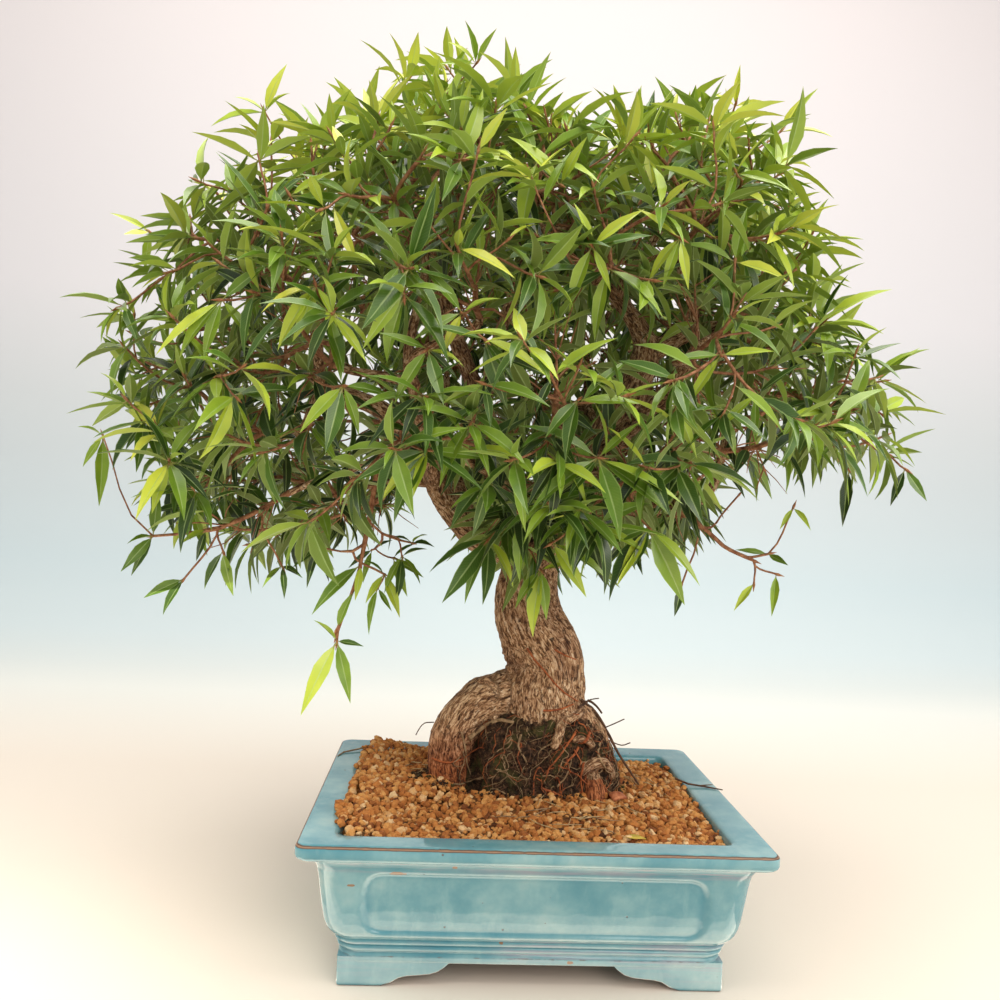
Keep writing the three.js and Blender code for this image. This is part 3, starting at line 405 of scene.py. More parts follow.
STONEWARE = glazed_stoneware()
GRANULES = volcanic_granules()
PACKED = packed_granules()
ROOT_SOIL = old_root_soil()
BARK = bark()
TWIG_BARK = plain_wood("young fig bark", "#77462c", "#c08c66", 5, 0.8)
BUD_SCALES = plain_wood("fig bud scales", "#8a5233", "#bf8a5c", 3, 0.6)
RED_ROOT = plain_wood("live rootlets", "#74341a", "#bd6a38", 5, 0.75)
TAN_ROOT = plain_wood("dry rootlets", "#70573a", "#b39570", 5, 0.85)
DARK_ROOT = plain_wood("old rootlets", "#3a271b", "#70503a", 5, 0.9)
STRAW = plain_wood("dry straw", "#a08154", "#d0b88c", 5, 0.8)
CHIP = plain_wood("broken bark chip", "#9a5230", "#d08a60", 6, 0.85)
FALLEN_LEAF = plain_wood("fallen yellow leaf", "#c9ab3c", "#e2cf5e", 6, 0.6)
LEAF = willow_leaf()
SCREEN = moulded_polypropylene()


# Making pieces

def as_mesh(bm, name):
    """Turns a finished bmesh into a mesh."""
    mesh = bpy.data.meshes.new(name)
    bm.to_mesh(mesh)
    bm.free()
    return mesh


def new_object(name, data):
    """An object at the origin of the scene."""
    holder = bpy.data.objects.new(name, data)
    bpy.context.scene.collection.objects.link(holder)
    return holder


def worked_out(holder):
    """The mesh that a scratch object comes to; the object itself is removed."""
    bpy.context.view_layer.update()
    made = bpy.data.meshes.new_from_object(holder.evaluated_get(bpy.context.evaluated_depsgraph_get()))
    bpy.data.objects.remove(holder)
    return made


def make_piece(bm, name, materials, nodes=(), smooth=True):
    """Moves a finished bmesh into the part's frame as one piece that rides on the part's body."""
    bmesh.ops.transform(bm, matrix=TO_PART, verts=bm.verts)
    return dress(as_mesh(bm, name), name, materials, nodes, smooth)


def dress(mesh, name, materials, nodes=(), smooth=True):
    """Makes a mesh that is already in the part's frame a named piece with its materials."""
    mesh.polygons.foreach_set("use_smooth", [smooth] * len(mesh.polygons))
    for number, material in enumerate(materials):
        if number < len(mesh.materials):
            mesh.materials[number] = material
        else:
            mesh.materials.append(material)
    piece = new_object(name, mesh)
    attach(piece, "root")
    if nodes:
        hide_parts(*nodes)
    return piece


def verts_of(geometry):
    return [g for g in geometry if isinstance(g, bmesh.types.BMVert)]


def grow_ring(bm, ring):
    """Extrudes a ring of edges in place, as (new points, new ring)."""
    made = bmesh.ops.extrude_edge_only(bm, edges=ring)["geom"]
    points = verts_of(made)
    new = set(points)
    return points, [g for g in made if isinstance(g, bmesh.types.BMEdge) and new.issuperset(g.verts)]


def sticks(paths, finishes, sides=1):
    """A mesh of round sticks. Each path is a list of (x, y, z, radius) stops and the number of its finish."""
    line = bpy.data.curves.new("sticks", "CURVE")
    line.dimensions = "3D"
    line.bevel_depth = 1.0
    line.bevel_resolution = sides
    line.use_fill_caps = True
    for finish in finishes:
        line.materials.append(finish)
    for stops, number in paths:
        spline = line.splines.new("POLY")
        spline.points.add(len(stops) - 1)
        for p, (x, y, z, radius) in zip(spline.points, stops):
            p.co = (x, y, z, 1)
            p.radius = radius
        spline.material_index = number
    made = worked_out(new_object("sticks", line))
    bpy.data.curves.remove(line)
    return made


def make_sticks(paths, name, finishes, nodes=()):
    """Sticks as one piece."""
    mesh = sticks(paths, finishes, 0)
    mesh.transform(TO_PART)
    dress(mesh, name, finishes, nodes)


def read_off(table, at, item=1):
    """A value between the rows of a table, by its first column."""
    return float(np.interp(at, [row[0] for row in table], [row[item] for row in table]))


def jitter(chance, size):
    """Three random lengths, none more than the size either way."""
    return np.array([chance.uniform(-size, size) for _ in range(3)])


def scatter(chance, size):
    """Three random lengths, mostly within the size."""
    return np.array([chance.gauss(0, size) for _ in range(3)])


def smooth_path(stops, step):
    """More stops on a smooth line through the given ones (x, y, z, radius), about a step apart."""
    p = np.array(stops, float)
    padded = np.vstack([2 * p[0] - p[1], p, 2 * p[-1] - p[-2]])
    out = []
    for i in range(len(p) - 1):
        a, b, c, d = padded[i:i + 4]
        count = max(1, round(np.linalg.norm((c - b)[:3]) / step))
        for k in range(count):
            t = k / count
            out.append(0.5 * (2 * b + (c - a) * t + (2 * a - 5 * b + 4 * c - d) * t * t
                              + (3 * b - a - 3 * c + d) * t ** 3))
    out.append(p[-1])
    return out


# The pot

# How far the wall stands in from the rim's edge at a few heights, from the mouldings up to the cove.
WALL_STOPS = [(39, 24.2), (41, 22.4), (44, 20.8), (49, 19.2), (56, 17.9), (64, 16.8), (72, 15.8), (80, 14.8),
              (86.5, 13.8), (91, 12.8), (94.5, 11.9), (97, 11.1)]


def pot_profile():
    """The wall from the underside up, over the rim and down the inside, as (inset, height)."""
    mouldings = [(31.8, 17.3), (30.5, 18.3), (30, 20), (30, 22.6), (30.5, 24.2), (31.3, 25.2), (31.2, 26),
                 (29.8, 26.6), (28.8, 27.6), (28.5, 29), (28.9, 30.2), (29.6, 30.9), (29.2, 31.6),
                 (27.9, 32.2), (27.0, 33.2), (26.8, 34.4), (27.2, 35.5), (27.4, 36.2), (25.9, 37.0),
                 (24.9, 38.2)]
    # The rows are close where the panels' edges cross the wall.
    heights = [39.2 + 0.95 * i for i in range(16)] + [57, 60, 63, 66, 69, 72]
    heights += [74.5 + 0.95 * i for i in range(21)] + [95.2, 96.4]
    wall = [(read_off(WALL_STOPS, z), z) for z in heights]
    under_rim = [(10.6, 98.2), (9.9, 99.3), (8.6, 100.3), (6.8, 101), (4.6, 101.4), (2.9, 102), (1.5, 103),
                 (0.5, 104.4)]
    rim = [(0, 106.2), (0, 108), (0, 110.4), (0.1, 111.3), (0.4, 112.1), (0.8, 112.7), (1.3, 113.2),
           (1.9, 113.55), (2.6, 113.8), (3.4, 113.95), (4.4, 114), (8, 113.8), (13, 113.6), (19, 113.2),
           (24, 112.8), (26.3, 112.3), (27.5, 111.2), (28, 109.6)]
    inside = [(28.6, 106), (29.4, 98), (30.4, 84), (31.5, 64), (33, 40), (35, 33.5), (39, 29), (46, 27.5)]
    return mouldings + wall + under_rim + rim + inside


def cut_ring(bm, place, normal):
    bmesh.ops.bisect_plane(bm, geom=bm.verts[:] + bm.edges[:], plane_co=place, plane_no=normal)


def plan_ring(bm):
    """The pot's plan at its underside: a rounded rectangle, with more points where the panels end."""
    half_x = RIM_WIDTH / 2 - BASE_INSET
    half_y = RIM_DEPTH / 2 - BASE_INSET
    bmesh.ops.create_grid(bm, x_segments=1, y_segments=1, size=1)
    bmesh.ops.scale(bm, vec=(half_x, half_y, 1), verts=bm.verts)
    bmesh.ops.bevel(bm, geom=bm.verts[:], offset=WALL_CORNER, offset_type="OFFSET", segments=10, profile=0.5,
                    affect="VERTICES", material=-1)
    bmesh.ops.delete(bm, geom=bm.faces[:], context="FACES_ONLY")
    grow_x = half_x / (RIM_WIDTH / 2 - PANEL_INSET)
    grow_y = half_y / (RIM_DEPTH / 2 - PANEL_INSET)
    for sign in (-1, 1):
        for i in range(30):
            from_end = 1.25 * i - 30
            cut_ring(bm, (sign * (PANEL["half_x"] + from_end) * grow_x, 0, 0), (1, 0, 0))
            cut_ring(bm, (0, sign * (PANEL["half_y"] + from_end) * grow_y, 0), (0, 1, 0))
    for i in range(-8, 9):
        cut_ring(bm, (i * 10.5, 0, 0), (1, 0, 0))
        cut_ring(bm, (0, i * 7.2, 0), (0, 1, 0))
    bmesh.ops.translate(bm, vec=(0, 0, FOOT_HEIGHT), verts=bm.verts)
    return bm.edges[:]


def raise_wall(bm, ring, profile):
    """Extrudes the ring up the profile, drawing it in or out to each inset and rounding its corners anew."""
    height = FOOT_HEIGHT
    half = Vector((RIM_WIDTH / 2 - BASE_INSET, RIM_DEPTH / 2 - BASE_INSET))
    corner = WALL_CORNER
    for next_inset, next_height in profile:
        points, ring = grow_ring(bm, ring)
        next_half = Vector((RIM_WIDTH / 2 - next_inset, RIM_DEPTH / 2 - next_inset))
        next_corner = WALL_CORNER + (RIM_CORNER - WALL_CORNER) * blend_in(next_height, 90, 104)
        for v in points:
            round_corner(v, half, corner, next_half, next_corner)
        bmesh.ops.translate(bm, vec=(0, 0, next_height - height), verts=points)
        half, corner, height = next_half, next_corner, next_height
    return ring


def round_corner(v, half, corner, next_half, next_corner):
    """Moves a point of the wall's plan from one rounded rectangle to the next."""
    turned = []
    for along, size, next_size in zip(v.co.xy, half, next_half):
        past = abs(along) - (size - corner)
        inner = abs(along) / (size - corner) * (next_size - next_corner)
        turned.append((past / corner, inner, next_size))
    (past_x, inner_x, size_x), (past_y, inner_y, size_y) = turned
    sign_x, sign_y = math.copysign(1, v.co.x), math.copysign(1, v.co.y)
    if past_x > 1e-5 and past_y > 1e-5:
        long = math.hypot(past_x, past_y)
        inner_x = size_x - next_corner + next_corner * past_x / long
        inner_y = size_y - next_corner + next_corner * past_y / long
    elif past_x > past_y:
        inner_x = size_x
    else:
        inner_y = size_y
    v.co.x, v.co.y = sign_x * inner_x, sign_y * inner_y


def out_of_panel(across, z, half):
    """How far a place on a wall is outside the rounded panel, and how much it lies to its side."""
    dx = abs(across) - (half - PANEL["corner"])
    dz = abs(z - PANEL["z"]) - (PANEL["half_z"] - PANEL["corner"])
    outside = math.hypot(max(dx, 0), max(dz, 0)) + min(max(dx, dz), 0) - PANEL["corner"]
    return outside, blend_in(dx - dz, -6, 12)


def panel_at(place):
    """Whether a place on the wall is in front or behind, and how it lies to that side's panel."""
    front = RIM_DEPTH / 2 - abs(place.y) < RIM_WIDTH / 2 - abs(place.x)
    half, across = (PANEL["half_x"], place.x) if front else (PANEL["half_y"], place.y)
    return (front, *out_of_panel(across, place.z, half))


def press_panels(bm):
    """Sets the wall in behind the rounded panel on each side, softly at its ends and in a fine line above."""
    for v in bm.verts:
        if 34 < v.co.z < 96 and max(abs(v.co.x) - RIM_WIDTH / 2, abs(v.co.y) - RIM_DEPTH / 2) > -27:
            front, outside, at_end = panel_at(v.co)
            depth = PANEL_DEPTH * (1 - blend_in(outside, -3.2 - 5.5 * at_end, 0.6))
            if front:
                v.co.y -= math.copysign(depth, v.co.y)
            else:
                v.co.x -= math.copysign(depth, v.co.x)


# The underside of a foot's arm, as (distance from the corner, height).
FOOT_OUTLINE = [
    (0, 0), (33, 0), (40, 2.4), (46, 6), (52, 7.4), (60, 8), (69, 9), (75, 11), (80, 14.5), (84, 18.5),
]


def foot_arm(length):
    """One arm of a corner foot, out along -X from its corner: flat, stepped, and curved up to the pot."""
    bm = bmesh.new()
    scale = length / FOOT_ARMS[0]
    top = FOOT_HEIGHT + 5
    outline = FOOT_OUTLINE + [(FOOT_ARMS[0], top), (0, top)]
    face = bm.faces.new([bm.verts.new((-along * scale, 0, z)) for along, z in outline])
    grown = bmesh.ops.extrude_face_region(bm, geom=[face])["geom"]
    bmesh.ops.translate(bm, vec=(0, -FOOT_THICKNESS, 0), verts=verts_of(grown))
    bmesh.ops.bisect_plane(bm, geom=bm.verts[:] + bm.edges[:] + bm.faces[:], plane_co=(0, 0, 0),
                           plane_no=(1, -1, 0), clear_outer=True)
    return bm


def corner_foot():
    """An L-shaped foot: two arms joined on the mitre, with their edges rounded by the glaze."""
    foot = bmesh.new()
    x_and_y_swapped = Matrix(((0, 1, 0, 0), (1, 0, 0, 0), (0, 0, 1, 0), (0, 0, 0, 1)))
    for length, matrix in zip(FOOT_ARMS, (Matrix.Identity(4), x_and_y_swapped)):
        arm = foot_arm(length)
        bmesh.ops.transform(arm, matrix=matrix, verts=arm.verts)
        foot.from_mesh(as_mesh(arm, "arm"))
    bmesh.ops.remove_doubles(foot, verts=foot.verts, dist=0.02)
    bmesh.ops.recalc_face_normals(foot, faces=foot.faces)
    sharp = [e for e in foot.edges if len(e.link_faces) == 2 and e.calc_face_angle() > 0.5
             and min(v.co.z for v in e.verts) < FOOT_HEIGHT + 1]
    bmesh.ops.bevel(foot, geom=sharp, offset=3.0, offset_type="OFFSET", segments=4, profile=0.5,
                    affect="EDGES", material=-1, clamp_overlap=True)
    return as_mesh(foot, "foot")


def cut_holes(blank):
    """Bores the drain holes and wire holes through the pot's floor."""
    cutter = bmesh.new()
    for x, y, radius in DRAIN_HOLES + WIRE_HOLES:
        bmesh.ops.create_cone(cutter, cap_ends=True, segments=32, radius1=radius, radius2=radius, depth=40,
                              matrix=Matrix.Translation((x, y, 20)))
    pot = new_object("pot_blank", blank)
    holes = new_object("holes", as_mesh(cutter, "holes"))
    modifier = pot.modifiers.new("holes", "BOOLEAN")
    modifier.object = holes
    modifier.operation = "DIFFERENCE"
    modifier.solver = "EXACT"
    out = worked_out(pot)
    bpy.data.objects.remove(holes)
    return out


def line_at(height, middle, half):
    """1 at the middle of a level line round the pot, falling to 0 at half its width."""
    return max(0.0, 1 - abs(height - middle) / half)


def glaze_marks(bm):
    """Marks where the glaze pools, where it runs thin and where it breaks, for the material to read."""
    pool = bm.verts.layers.float.new("pool")
    thin = bm.verts.layers.float.new("thin")
    edge = bm.verts.layers.float.new("edge")
    for v in bm.verts:
        z = v.co.z
        inset = min(RIM_WIDTH / 2 - abs(v.co.x), RIM_DEPTH / 2 - abs(v.co.y))
        rim_edge = line_at(z, 112.7, 1.25) if inset < 4.6 else 0.0
        foot_edge = 0.52 * (1 - blend_in(z - underside_at(v.co), 0.3, 1.5)) if z < FOOT_HEIGHT + 0.5 else 0.0
        v[edge] = max(rim_edge, foot_edge, 0.42 * line_at(z, 23, 1.2))
        cove = blend_in(z, 90, 95) * (1 - blend_in(z, 100.5, 101.5))
        band = blend_in(z, 18, 22) * (1 - blend_in(z, 37, 41))
        v[thin] = max(cove, 0.8 * band) if inset > 2 else 0.0
        grooves = 0.4 * max(line_at(z, groove, 1.1) for groove in (25.7, 31, 36.2))
        v[pool] = max(0.25 * cove, grooves, panel_hollow(v.co))


def underside_at(place):
    """How high the underside of the nearest foot's arm is at a place."""
    gap_x = RIM_WIDTH / 2 - FOOT_INSET - abs(place.x)
    gap_y = RIM_DEPTH / 2 - FOOT_INSET - abs(place.y)
    return read_off(FOOT_OUTLINE, gap_x if gap_y < gap_x else gap_y * FOOT_ARMS[0] / FOOT_ARMS[1])


def panel_hollow(place):
    """How much the glaze gathers at a place in the hollow round the inside of a panel."""
    if not 38 < place.z < 94:
        return 0.0
    _, outside, at_end = panel_at(place)
    return 0.45 * line_at(outside, -3 - 4 * at_end, 2.4 + 3.5 * at_end)


def make_pot():
    """The pot in one piece: wall, rim and basin from one plan, then its panels, holes and feet."""
    bm = bmesh.new()
    ring = plan_ring(bm)
    points, wall_ring = grow_ring(bm, ring)
    bmesh.ops.translate(bm, vec=(0, 0, 0.05), verts=points)
    last = raise_wall(bm, wall_ring, pot_profile())
    bmesh.ops.contextual_create(bm, geom=last)
    bmesh.ops.contextual_create(bm, geom=ring)
    press_panels(bm)
    bmesh.ops.recalc_face_normals(bm, faces=bm.faces)
    bored = cut_holes(as_mesh(bm, "pot_blank"))
    bm = bmesh.new()
    bm.from_mesh(bored)
    foot = corner_foot()
    for sign_x in (-1, 1):
        for sign_y in (-1, 1):
            part = foot.copy()
            corner = (sign_x * (RIM_WIDTH / 2 - FOOT_INSET), sign_y * (RIM_DEPTH / 2 - FOOT_INSET), 0)
            part.transform(Matrix.Translation(corner) @ Matrix.Diagonal((sign_x, sign_y, 1, 1)))
            if sign_x * sign_y < 0:
                part.flip_normals()
            bm.from_mesh(part)
    glaze_marks(bm)
    pot = make_piece(bm, "pot_glazed", [STONEWARE], ["pot"])
    mark_sharp(pot.data, 40)


def mark_sharp(mesh, degrees):
    """Shades faces that meet at a steep angle as separate."""
    bm = bmesh.new()
    bm.from_mesh(mesh)
    for e in bm.edges:
        e.smooth = not (len(e.link_faces) == 2 and e.calc_face_angle() > math.radians(degrees))
    bm.to_mesh(mesh)
    bm.free()


# The soil

def soil_height(x, y):
    """The level of the granules: a low mound round the tree, higher at the back left and the left root."""
    mound = math.exp(-(((x - HOLE["x"]) / 150) ** 2 + ((y - HOLE["y"]) / 110) ** 2) * 1.6)
    lean = 4 * math.exp(-(((x + 90) / 70) ** 2) - ((y - 70) / 60) ** 2)
    at_root = 8 * math.exp(-(((x + 84) / 26) ** 2) - ((y + 12) / 20) ** 2)
    return SOIL_EDGE - 1.5 + SOIL_MOUND * mound + lean + at_root


def granule_shapes(chance):
    """Eight worn lumps: small cubes with bevelled edges, rounded off and knocked out of true."""
    shapes = []
    for _ in range(8):
        bm = bmesh.new()
        bmesh.ops.create_cube(bm, size=1.5)
        bmesh.ops.bevel(bm, geom=bm.edges[:], offset=0.42, offset_type="OFFSET", segments=1, profile=0.5,
                        affect="EDGES", material=-1)
        for v in bm.verts:
            v.co = v.co.lerp(v.co.normalized() * 0.86, 0.3)
            v.co += Vector(jitter(chance, 0.18))
        lengths = (chance.uniform(0.95, 1.3), chance.uniform(0.85, 1.1), chance.uniform(0.7, 0.95))
        bmesh.ops.scale(bm, vec=lengths, verts=bm.verts)
        shape = as_mesh(bm, "granule")
        shape.attributes.new("tone", "FLOAT", "FACE")
        shapes.append(shape)
    return shapes


def copies_of(shapes):
    """Keeps each shape's own points, so that every copy starts from them again."""
    kept = []
    for shape in shapes:
        co = np.zeros(len(shape.vertices) * 3)
        shape.vertices.foreach_get("co", co)
        kept.append((shape, co.reshape(-1, 3)))
    return kept


def add_copy(bm, kept, matrix, **values):
    """Adds one copy of a shape, turned and placed by the matrix, with its face values."""
    shape, co = kept
    m = np.array(matrix)
    shape.vertices.foreach_set("co", (co @ m[:3, :3].T + m[:3, 3]).ravel())
    for name, value in values.items():
        shape.attributes[name].data.foreach_set("value", [value] * len(shape.polygons))
    bm.from_mesh(shape)


def random_turn(chance):
    """A turn by any angle about any axis."""
    axis = Vector(scatter(chance, 1)).normalized()
    return Matrix.Rotation(chance.uniform(0, 2 * math.pi), 4, axis)


def granule_places(chance):
    """Rows over the soil, heaped at the left and back, and some knocked out over the left rim."""
    half_x = RIM_WIDTH / 2 - RIM_FLAT - 1.5
    half_y = RIM_DEPTH / 2 - RIM_FLAT - 1.5
    row_pitch = GRANULE_PITCH * 0.866
    places = []
    for row in range(int(2 * half_y / row_pitch) + 1):
        for k in range(int(2 * half_x / GRANULE_PITCH) + 1):
            x = -half_x + (k + 0.5 * (row % 2)) * GRANULE_PITCH + chance.uniform(-1.5, 1.5)
            y = -half_y + row * row_pitch + chance.uniform(-1.5, 1.5)
            across = (x - HOLE["x"]) / (HOLE["radius_x"] - 6)
            along = (y - HOLE["y"]) / (HOLE["radius_y"] - 6)
            if abs(x) < half_x and abs(y) < half_y and across ** 2 + along ** 2 >= 1:
                places.append((x, y, soil_height(x, y) + chance.uniform(-0.8, 1.4)))
                heap = 8.0 * blend_in(-x, 96, 138) + 6.0 * blend_in(y, 66, 104) * blend_in(-x, -60, 50)
                if chance.random() < 0.07 + 0.3 * heap:
                    above = max(3.2, heap) + chance.uniform(-0.8, 0.8)
                    places.append((x + 2, y + 1, soil_height(x, y) + above))
    for _ in range(SPILLED_ON_RIM):
        x = -146 - abs(chance.gauss(0, 2.2))
        y = chance.uniform(-98, 108)
        places.append((x, y, POT_HEIGHT + chance.uniform(0, 1.2)))
    for _ in range(SPILLED_IN_HEAP):
        x = chance.uniform(-155, -143)
        places.append((x, chance.uniform(-84, -52), POT_HEIGHT + 1.2))
    return places


def make_granules():
    """The top layer of granules, with a few knocked out over the rim."""
    chance = random.Random(31)
    shapes = copies_of(granule_shapes(chance))
    bm = bmesh.new()
    bm.faces.layers.float.new("tone")
    for place in granule_places(chance):
        size = chance.choice((1.9, 2.3, 2.7, 3.0, 3.3, 3.7, 4.1))
        matrix = Matrix.Translation(place) @ random_turn(chance) @ Matrix.Scale(size, 4)
        tone = chance.gauss(0.42, 0.17) + (0.25 if chance.random() < 0.03 else 0.0)
        add_copy(bm, chance.choice(shapes), matrix, tone=tone)
    make_piece(bm, "granules", [GRANULES], smooth=False)


# Where straw lies on the granules: the middle of each patch, and how far it goes each way.
STRAW_PATCHES = [
    (-100, 78, 30, 24), (108, 30, 16, 32), (-10, -62, 90, 26), (60, -60, 40, 30), (-88, 40, 22, 18),
]
# A dry twig with its fork lies over the right rim, and a curled root over the left one.
RIM_TWIG = [(138, 27, 118, 0.9), (149, 22, 115, 0.9), (161, 17, 114.8, 0.8), (176, 8, 114.9, 0.5)]
RIM_TWIG_FORK = [(158, 18, 115, 0.6), (165, 19, 115.4, 0.5), (171, 22, 115, 0.3)]
RIM_ROOT = [(-172, 77, 114.6, 0.5), (-168, 90, 114.8, 0.8), (-160, 97, 115, 0.8), (-151, 106, 115, 0.8),
            (-141, 112, 118, 0.5)]


def make_straw():
    """Bits of straw that lie along the granules, and what lies over the rim."""
    chance = random.Random(12)
    paths = []
    for patch_x, patch_y, wide, deep in STRAW_PATCHES:
        for _ in range(11):
            x = patch_x + chance.uniform(-wide, wide)
            y = patch_y + chance.uniform(-deep, deep)
            angle = chance.gauss(0.2, 0.6) if patch_x < 80 else chance.gauss(-1.0, 0.5)
            length = chance.uniform(9, 30)
            curl = chance.uniform(-0.5, 0.5)
            thick = chance.uniform(0.35, 0.75)
            stops = []
            for t in (-0.5, -0.25, 0.0, 0.25, 0.5):
                px = x + length * t * math.cos(angle + curl * t)
                py = y + length * t * math.sin(angle + curl * t)
                pz = soil_height(px, py) + 2.9 + thick + chance.uniform(-0.3, 0.6)
                stops.append((px, py, pz, thick * (1 - abs(t))))
            paths.append((stops, chance.choice((0, 0, 1))))
    paths += [(RIM_TWIG, 2), (RIM_TWIG_FORK, 2), (RIM_ROOT, 1)]
    make_sticks(paths, "straw", [STRAW, TAN_ROOT, DARK_ROOT])


def make_bark_chip():
    """A curved, broken flake of bark, 14 mm long."""
    bm = bmesh.new()
    bmesh.ops.create_cube(bm, size=1, matrix=Matrix.Diagonal((14, 8, 1.8, 1)))
    bmesh.ops.subdivide_edges(bm, edges=bm.edges[:], cuts=2, use_grid_fill=True)
    # Without a seed of its own, noise_vector goes by the clock.
    noise.seed_set(3)
    for v in bm.verts:
        v.co.z -= 0.035 * v.co.x ** 2 - 1
        v.co += Vector(noise.noise_vector(v.co / 3)) * 1.1
    turn = Matrix.Rotation(0.5, 3, "Z") @ Matrix.Rotation(0.35, 3, "X")
    bmesh.ops.rotate(bm, cent=(0, 0, 0), matrix=turn, verts=bm.verts)
    bmesh.ops.translate(bm, vec=(76, -27, soil_height(76, -27) + 6), verts=bm.verts)
    make_piece(bm, "bark_chip", [CHIP])


def make_fallen_leaf():
    """A small yellow leaf, folded and curled as it dried."""
    bm = bmesh.new()
    bmesh.ops.create_grid(bm, x_segments=8, y_segments=2, size=0.5)
    for v in bm.verts:
        t = v.co.x + 0.5
        v.co = Vector((16 * t, v.co.y * 9 * math.sin(math.pi * t ** 0.8), 3 * t * (1 - t) + abs(v.co.y) * 2))
    bmesh.ops.solidify(bm, geom=bm.faces[:], thickness=0.25)
    bmesh.ops.rotate(bm, cent=(0, 0, 0), matrix=Matrix.Rotation(-0.2, 3, "Z"), verts=bm.verts)
    bmesh.ops.translate(bm, vec=(68, -99, soil_height(72, -100) + 3.6), verts=bm.verts)
    bmesh.ops.recalc_face_normals(bm, faces=bm.faces)
    make_piece(bm, "fallen_leaf", [FALLEN_LEAF])


# The root ball

def sort_faces(bm):
    """Lists the faces in the order of their corners, because extruding lists them anew in each run."""
    bm.verts.index_update()
    in_order = sorted(bm.faces, key=lambda face: sorted(v.index for v in face.verts))
    rank = {face: k for k, face in enumerate(in_order)}
    bm.faces.sort(key=rank.get)


# Its levels from the soil up, as (height, half width, half depth, middle x, middle y).
ROOT_LEVELS = [
    (100, 88, 44, -2, 14), (112, 88, 44.5, -2, 14), (121, 85, 43, -1, 13.5), (130, 80, 42, 1, 13),
    (145, 72, 39.5, 5, 13), (160, 64, 37, 8, 14), (173, 53, 33, 9, 15), (181, 43, 28, 9, 15),
    (186, 30, 20, 9, 15),
]


def level_at(z):
    """The root ball's half width, half depth, middle x and middle y at a height."""
    return [read_off(ROOT_LEVELS, z, item) for item in range(1, 5)]


def ball_front(x, z):
    """How far forward the root ball comes at a place seen from the front."""
    half_x, half_y, middle_x, middle_y = level_at(z)
    across = min(abs(x - middle_x) / half_x, 1.0)
    return middle_y - half_y * math.sqrt(1 - across * across)


def make_root_ball():
    """The mass of old soil, drawn up level by level, then broken into clods."""
    bm = bmesh.new()
    bmesh.ops.create_circle(bm, cap_ends=False, segments=250, radius=1)
    ring = bm.edges[:]
    z, half_x, half_y, x, y = ROOT_LEVELS[0]
    bmesh.ops.scale(bm, vec=(half_x, half_y, 1), verts=bm.verts)
    bmesh.ops.translate(bm, vec=(x, y, z), verts=bm.verts)
    for next_z in np.linspace(z, ROOT_LEVELS[-1][0], 46)[1:]:
        points, ring = grow_ring(bm, ring)
        next_half_x, next_half_y, next_x, next_y = level_at(next_z)
        bmesh.ops.translate(bm, vec=(-x, -y, 0), verts=points)
        bmesh.ops.scale(bm, vec=(next_half_x / half_x, next_half_y / half_y, 1), verts=points)
        bmesh.ops.translate(bm, vec=(next_x, next_y, next_z - z), verts=points)
        x, y, z, half_x, half_y = next_x, next_y, next_z, next_half_x, next_half_y
    bmesh.ops.contextual_create(bm, geom=ring)
    sort_faces(bm)
    bmesh.ops.recalc_face_normals(bm, faces=bm.faces)
    bm.normal_update()
    moves = []
    for v in bm.verts:
        lump = noise.noise(v.co / 15) * 4.0 + noise.noise(v.co / 6 + Vector((9, 0, 0))) * 3.0
        crumb = noise.noise(v.co / 2.4 + Vector((0, 5, 0))) * 2.2
        # Under the arch of the left root the soil lies further back.
        hold_back = 22 * blend_in(-v.co.x, 33, 46) * (v.co.y < 8)
        moves.append(v.normal * (lump + crumb - 1.0) + Vector((0, hold_back, 0)))
    for v, move in zip(bm.verts, moves):
        v.co += move
    return make_piece(bm, "root_ball_mossy", [ROOT_SOIL], ["root_ball"])


def add_crumb(bm, chance, shapes, place, size):
    """Adds one crumb of soil, turned at random."""
    matrix = Matrix.Translation(place) @ random_turn(chance) @ Matrix.Scale(size, 4)
    add_copy(bm, chance.choice(shapes), matrix)


def make_crumbs(ball):
    """Crumbs of soil, stuck to the root ball and fallen round its foot."""
    chance = random.Random(8)
    shapes = copies_of(granule_shapes(chance))
    skin = skin_of([ball])
    far_out = 120
    bm = bmesh.new()
    for _ in range(CRUMBS_ON_BALL):
        angle = chance.uniform(0, 2 * math.pi)
        z = chance.uniform(116, 184)
        _, _, middle_x, middle_y = level_at(z)
        start = Vector((middle_x + far_out * math.cos(angle), middle_y + far_out * math.sin(angle), z))
        place, normal, _, _ = skin.ray_cast(start, Vector((-math.cos(angle), -math.sin(angle), 0)))
        size = chance.choice((0.7, 0.9, 1.1, 1.4, 1.9))
        add_crumb(bm, chance, shapes, place + normal * size * 0.25, size)
    for _ in range(CRUMBS_AT_FOOT):
        angle = chance.uniform(0, 2 * math.pi)
        away = 0.97 + abs(chance.gauss(0, 0.07))
        x = HOLE["x"] - 2 + HOLE["radius_x"] * away * math.cos(angle)
        y = HOLE["y"] - 2 + (HOLE["radius_y"] - 1) * away * math.sin(angle)
        size = chance.choice((0.6, 0.8, 1.0, 1.3, 1.7))
        add_crumb(bm, chance, shapes, (x, y, soil_height(x, y) + 3.2), size)
    make_piece(bm, "root_ball_crumbs", [ROOT_SOIL])


def skin_of(pieces):
    """The skins of finished pieces, in millimetres, to lay roots and crumbs on."""
    bm = bmesh.new()
    for piece in pieces:
        bm.from_mesh(piece.data)
    bmesh.ops.transform(bm, matrix=TO_PART.inverted(), verts=bm.verts)
    tree = BVHTree.FromBMesh(bm)
    bm.free()
    return tree


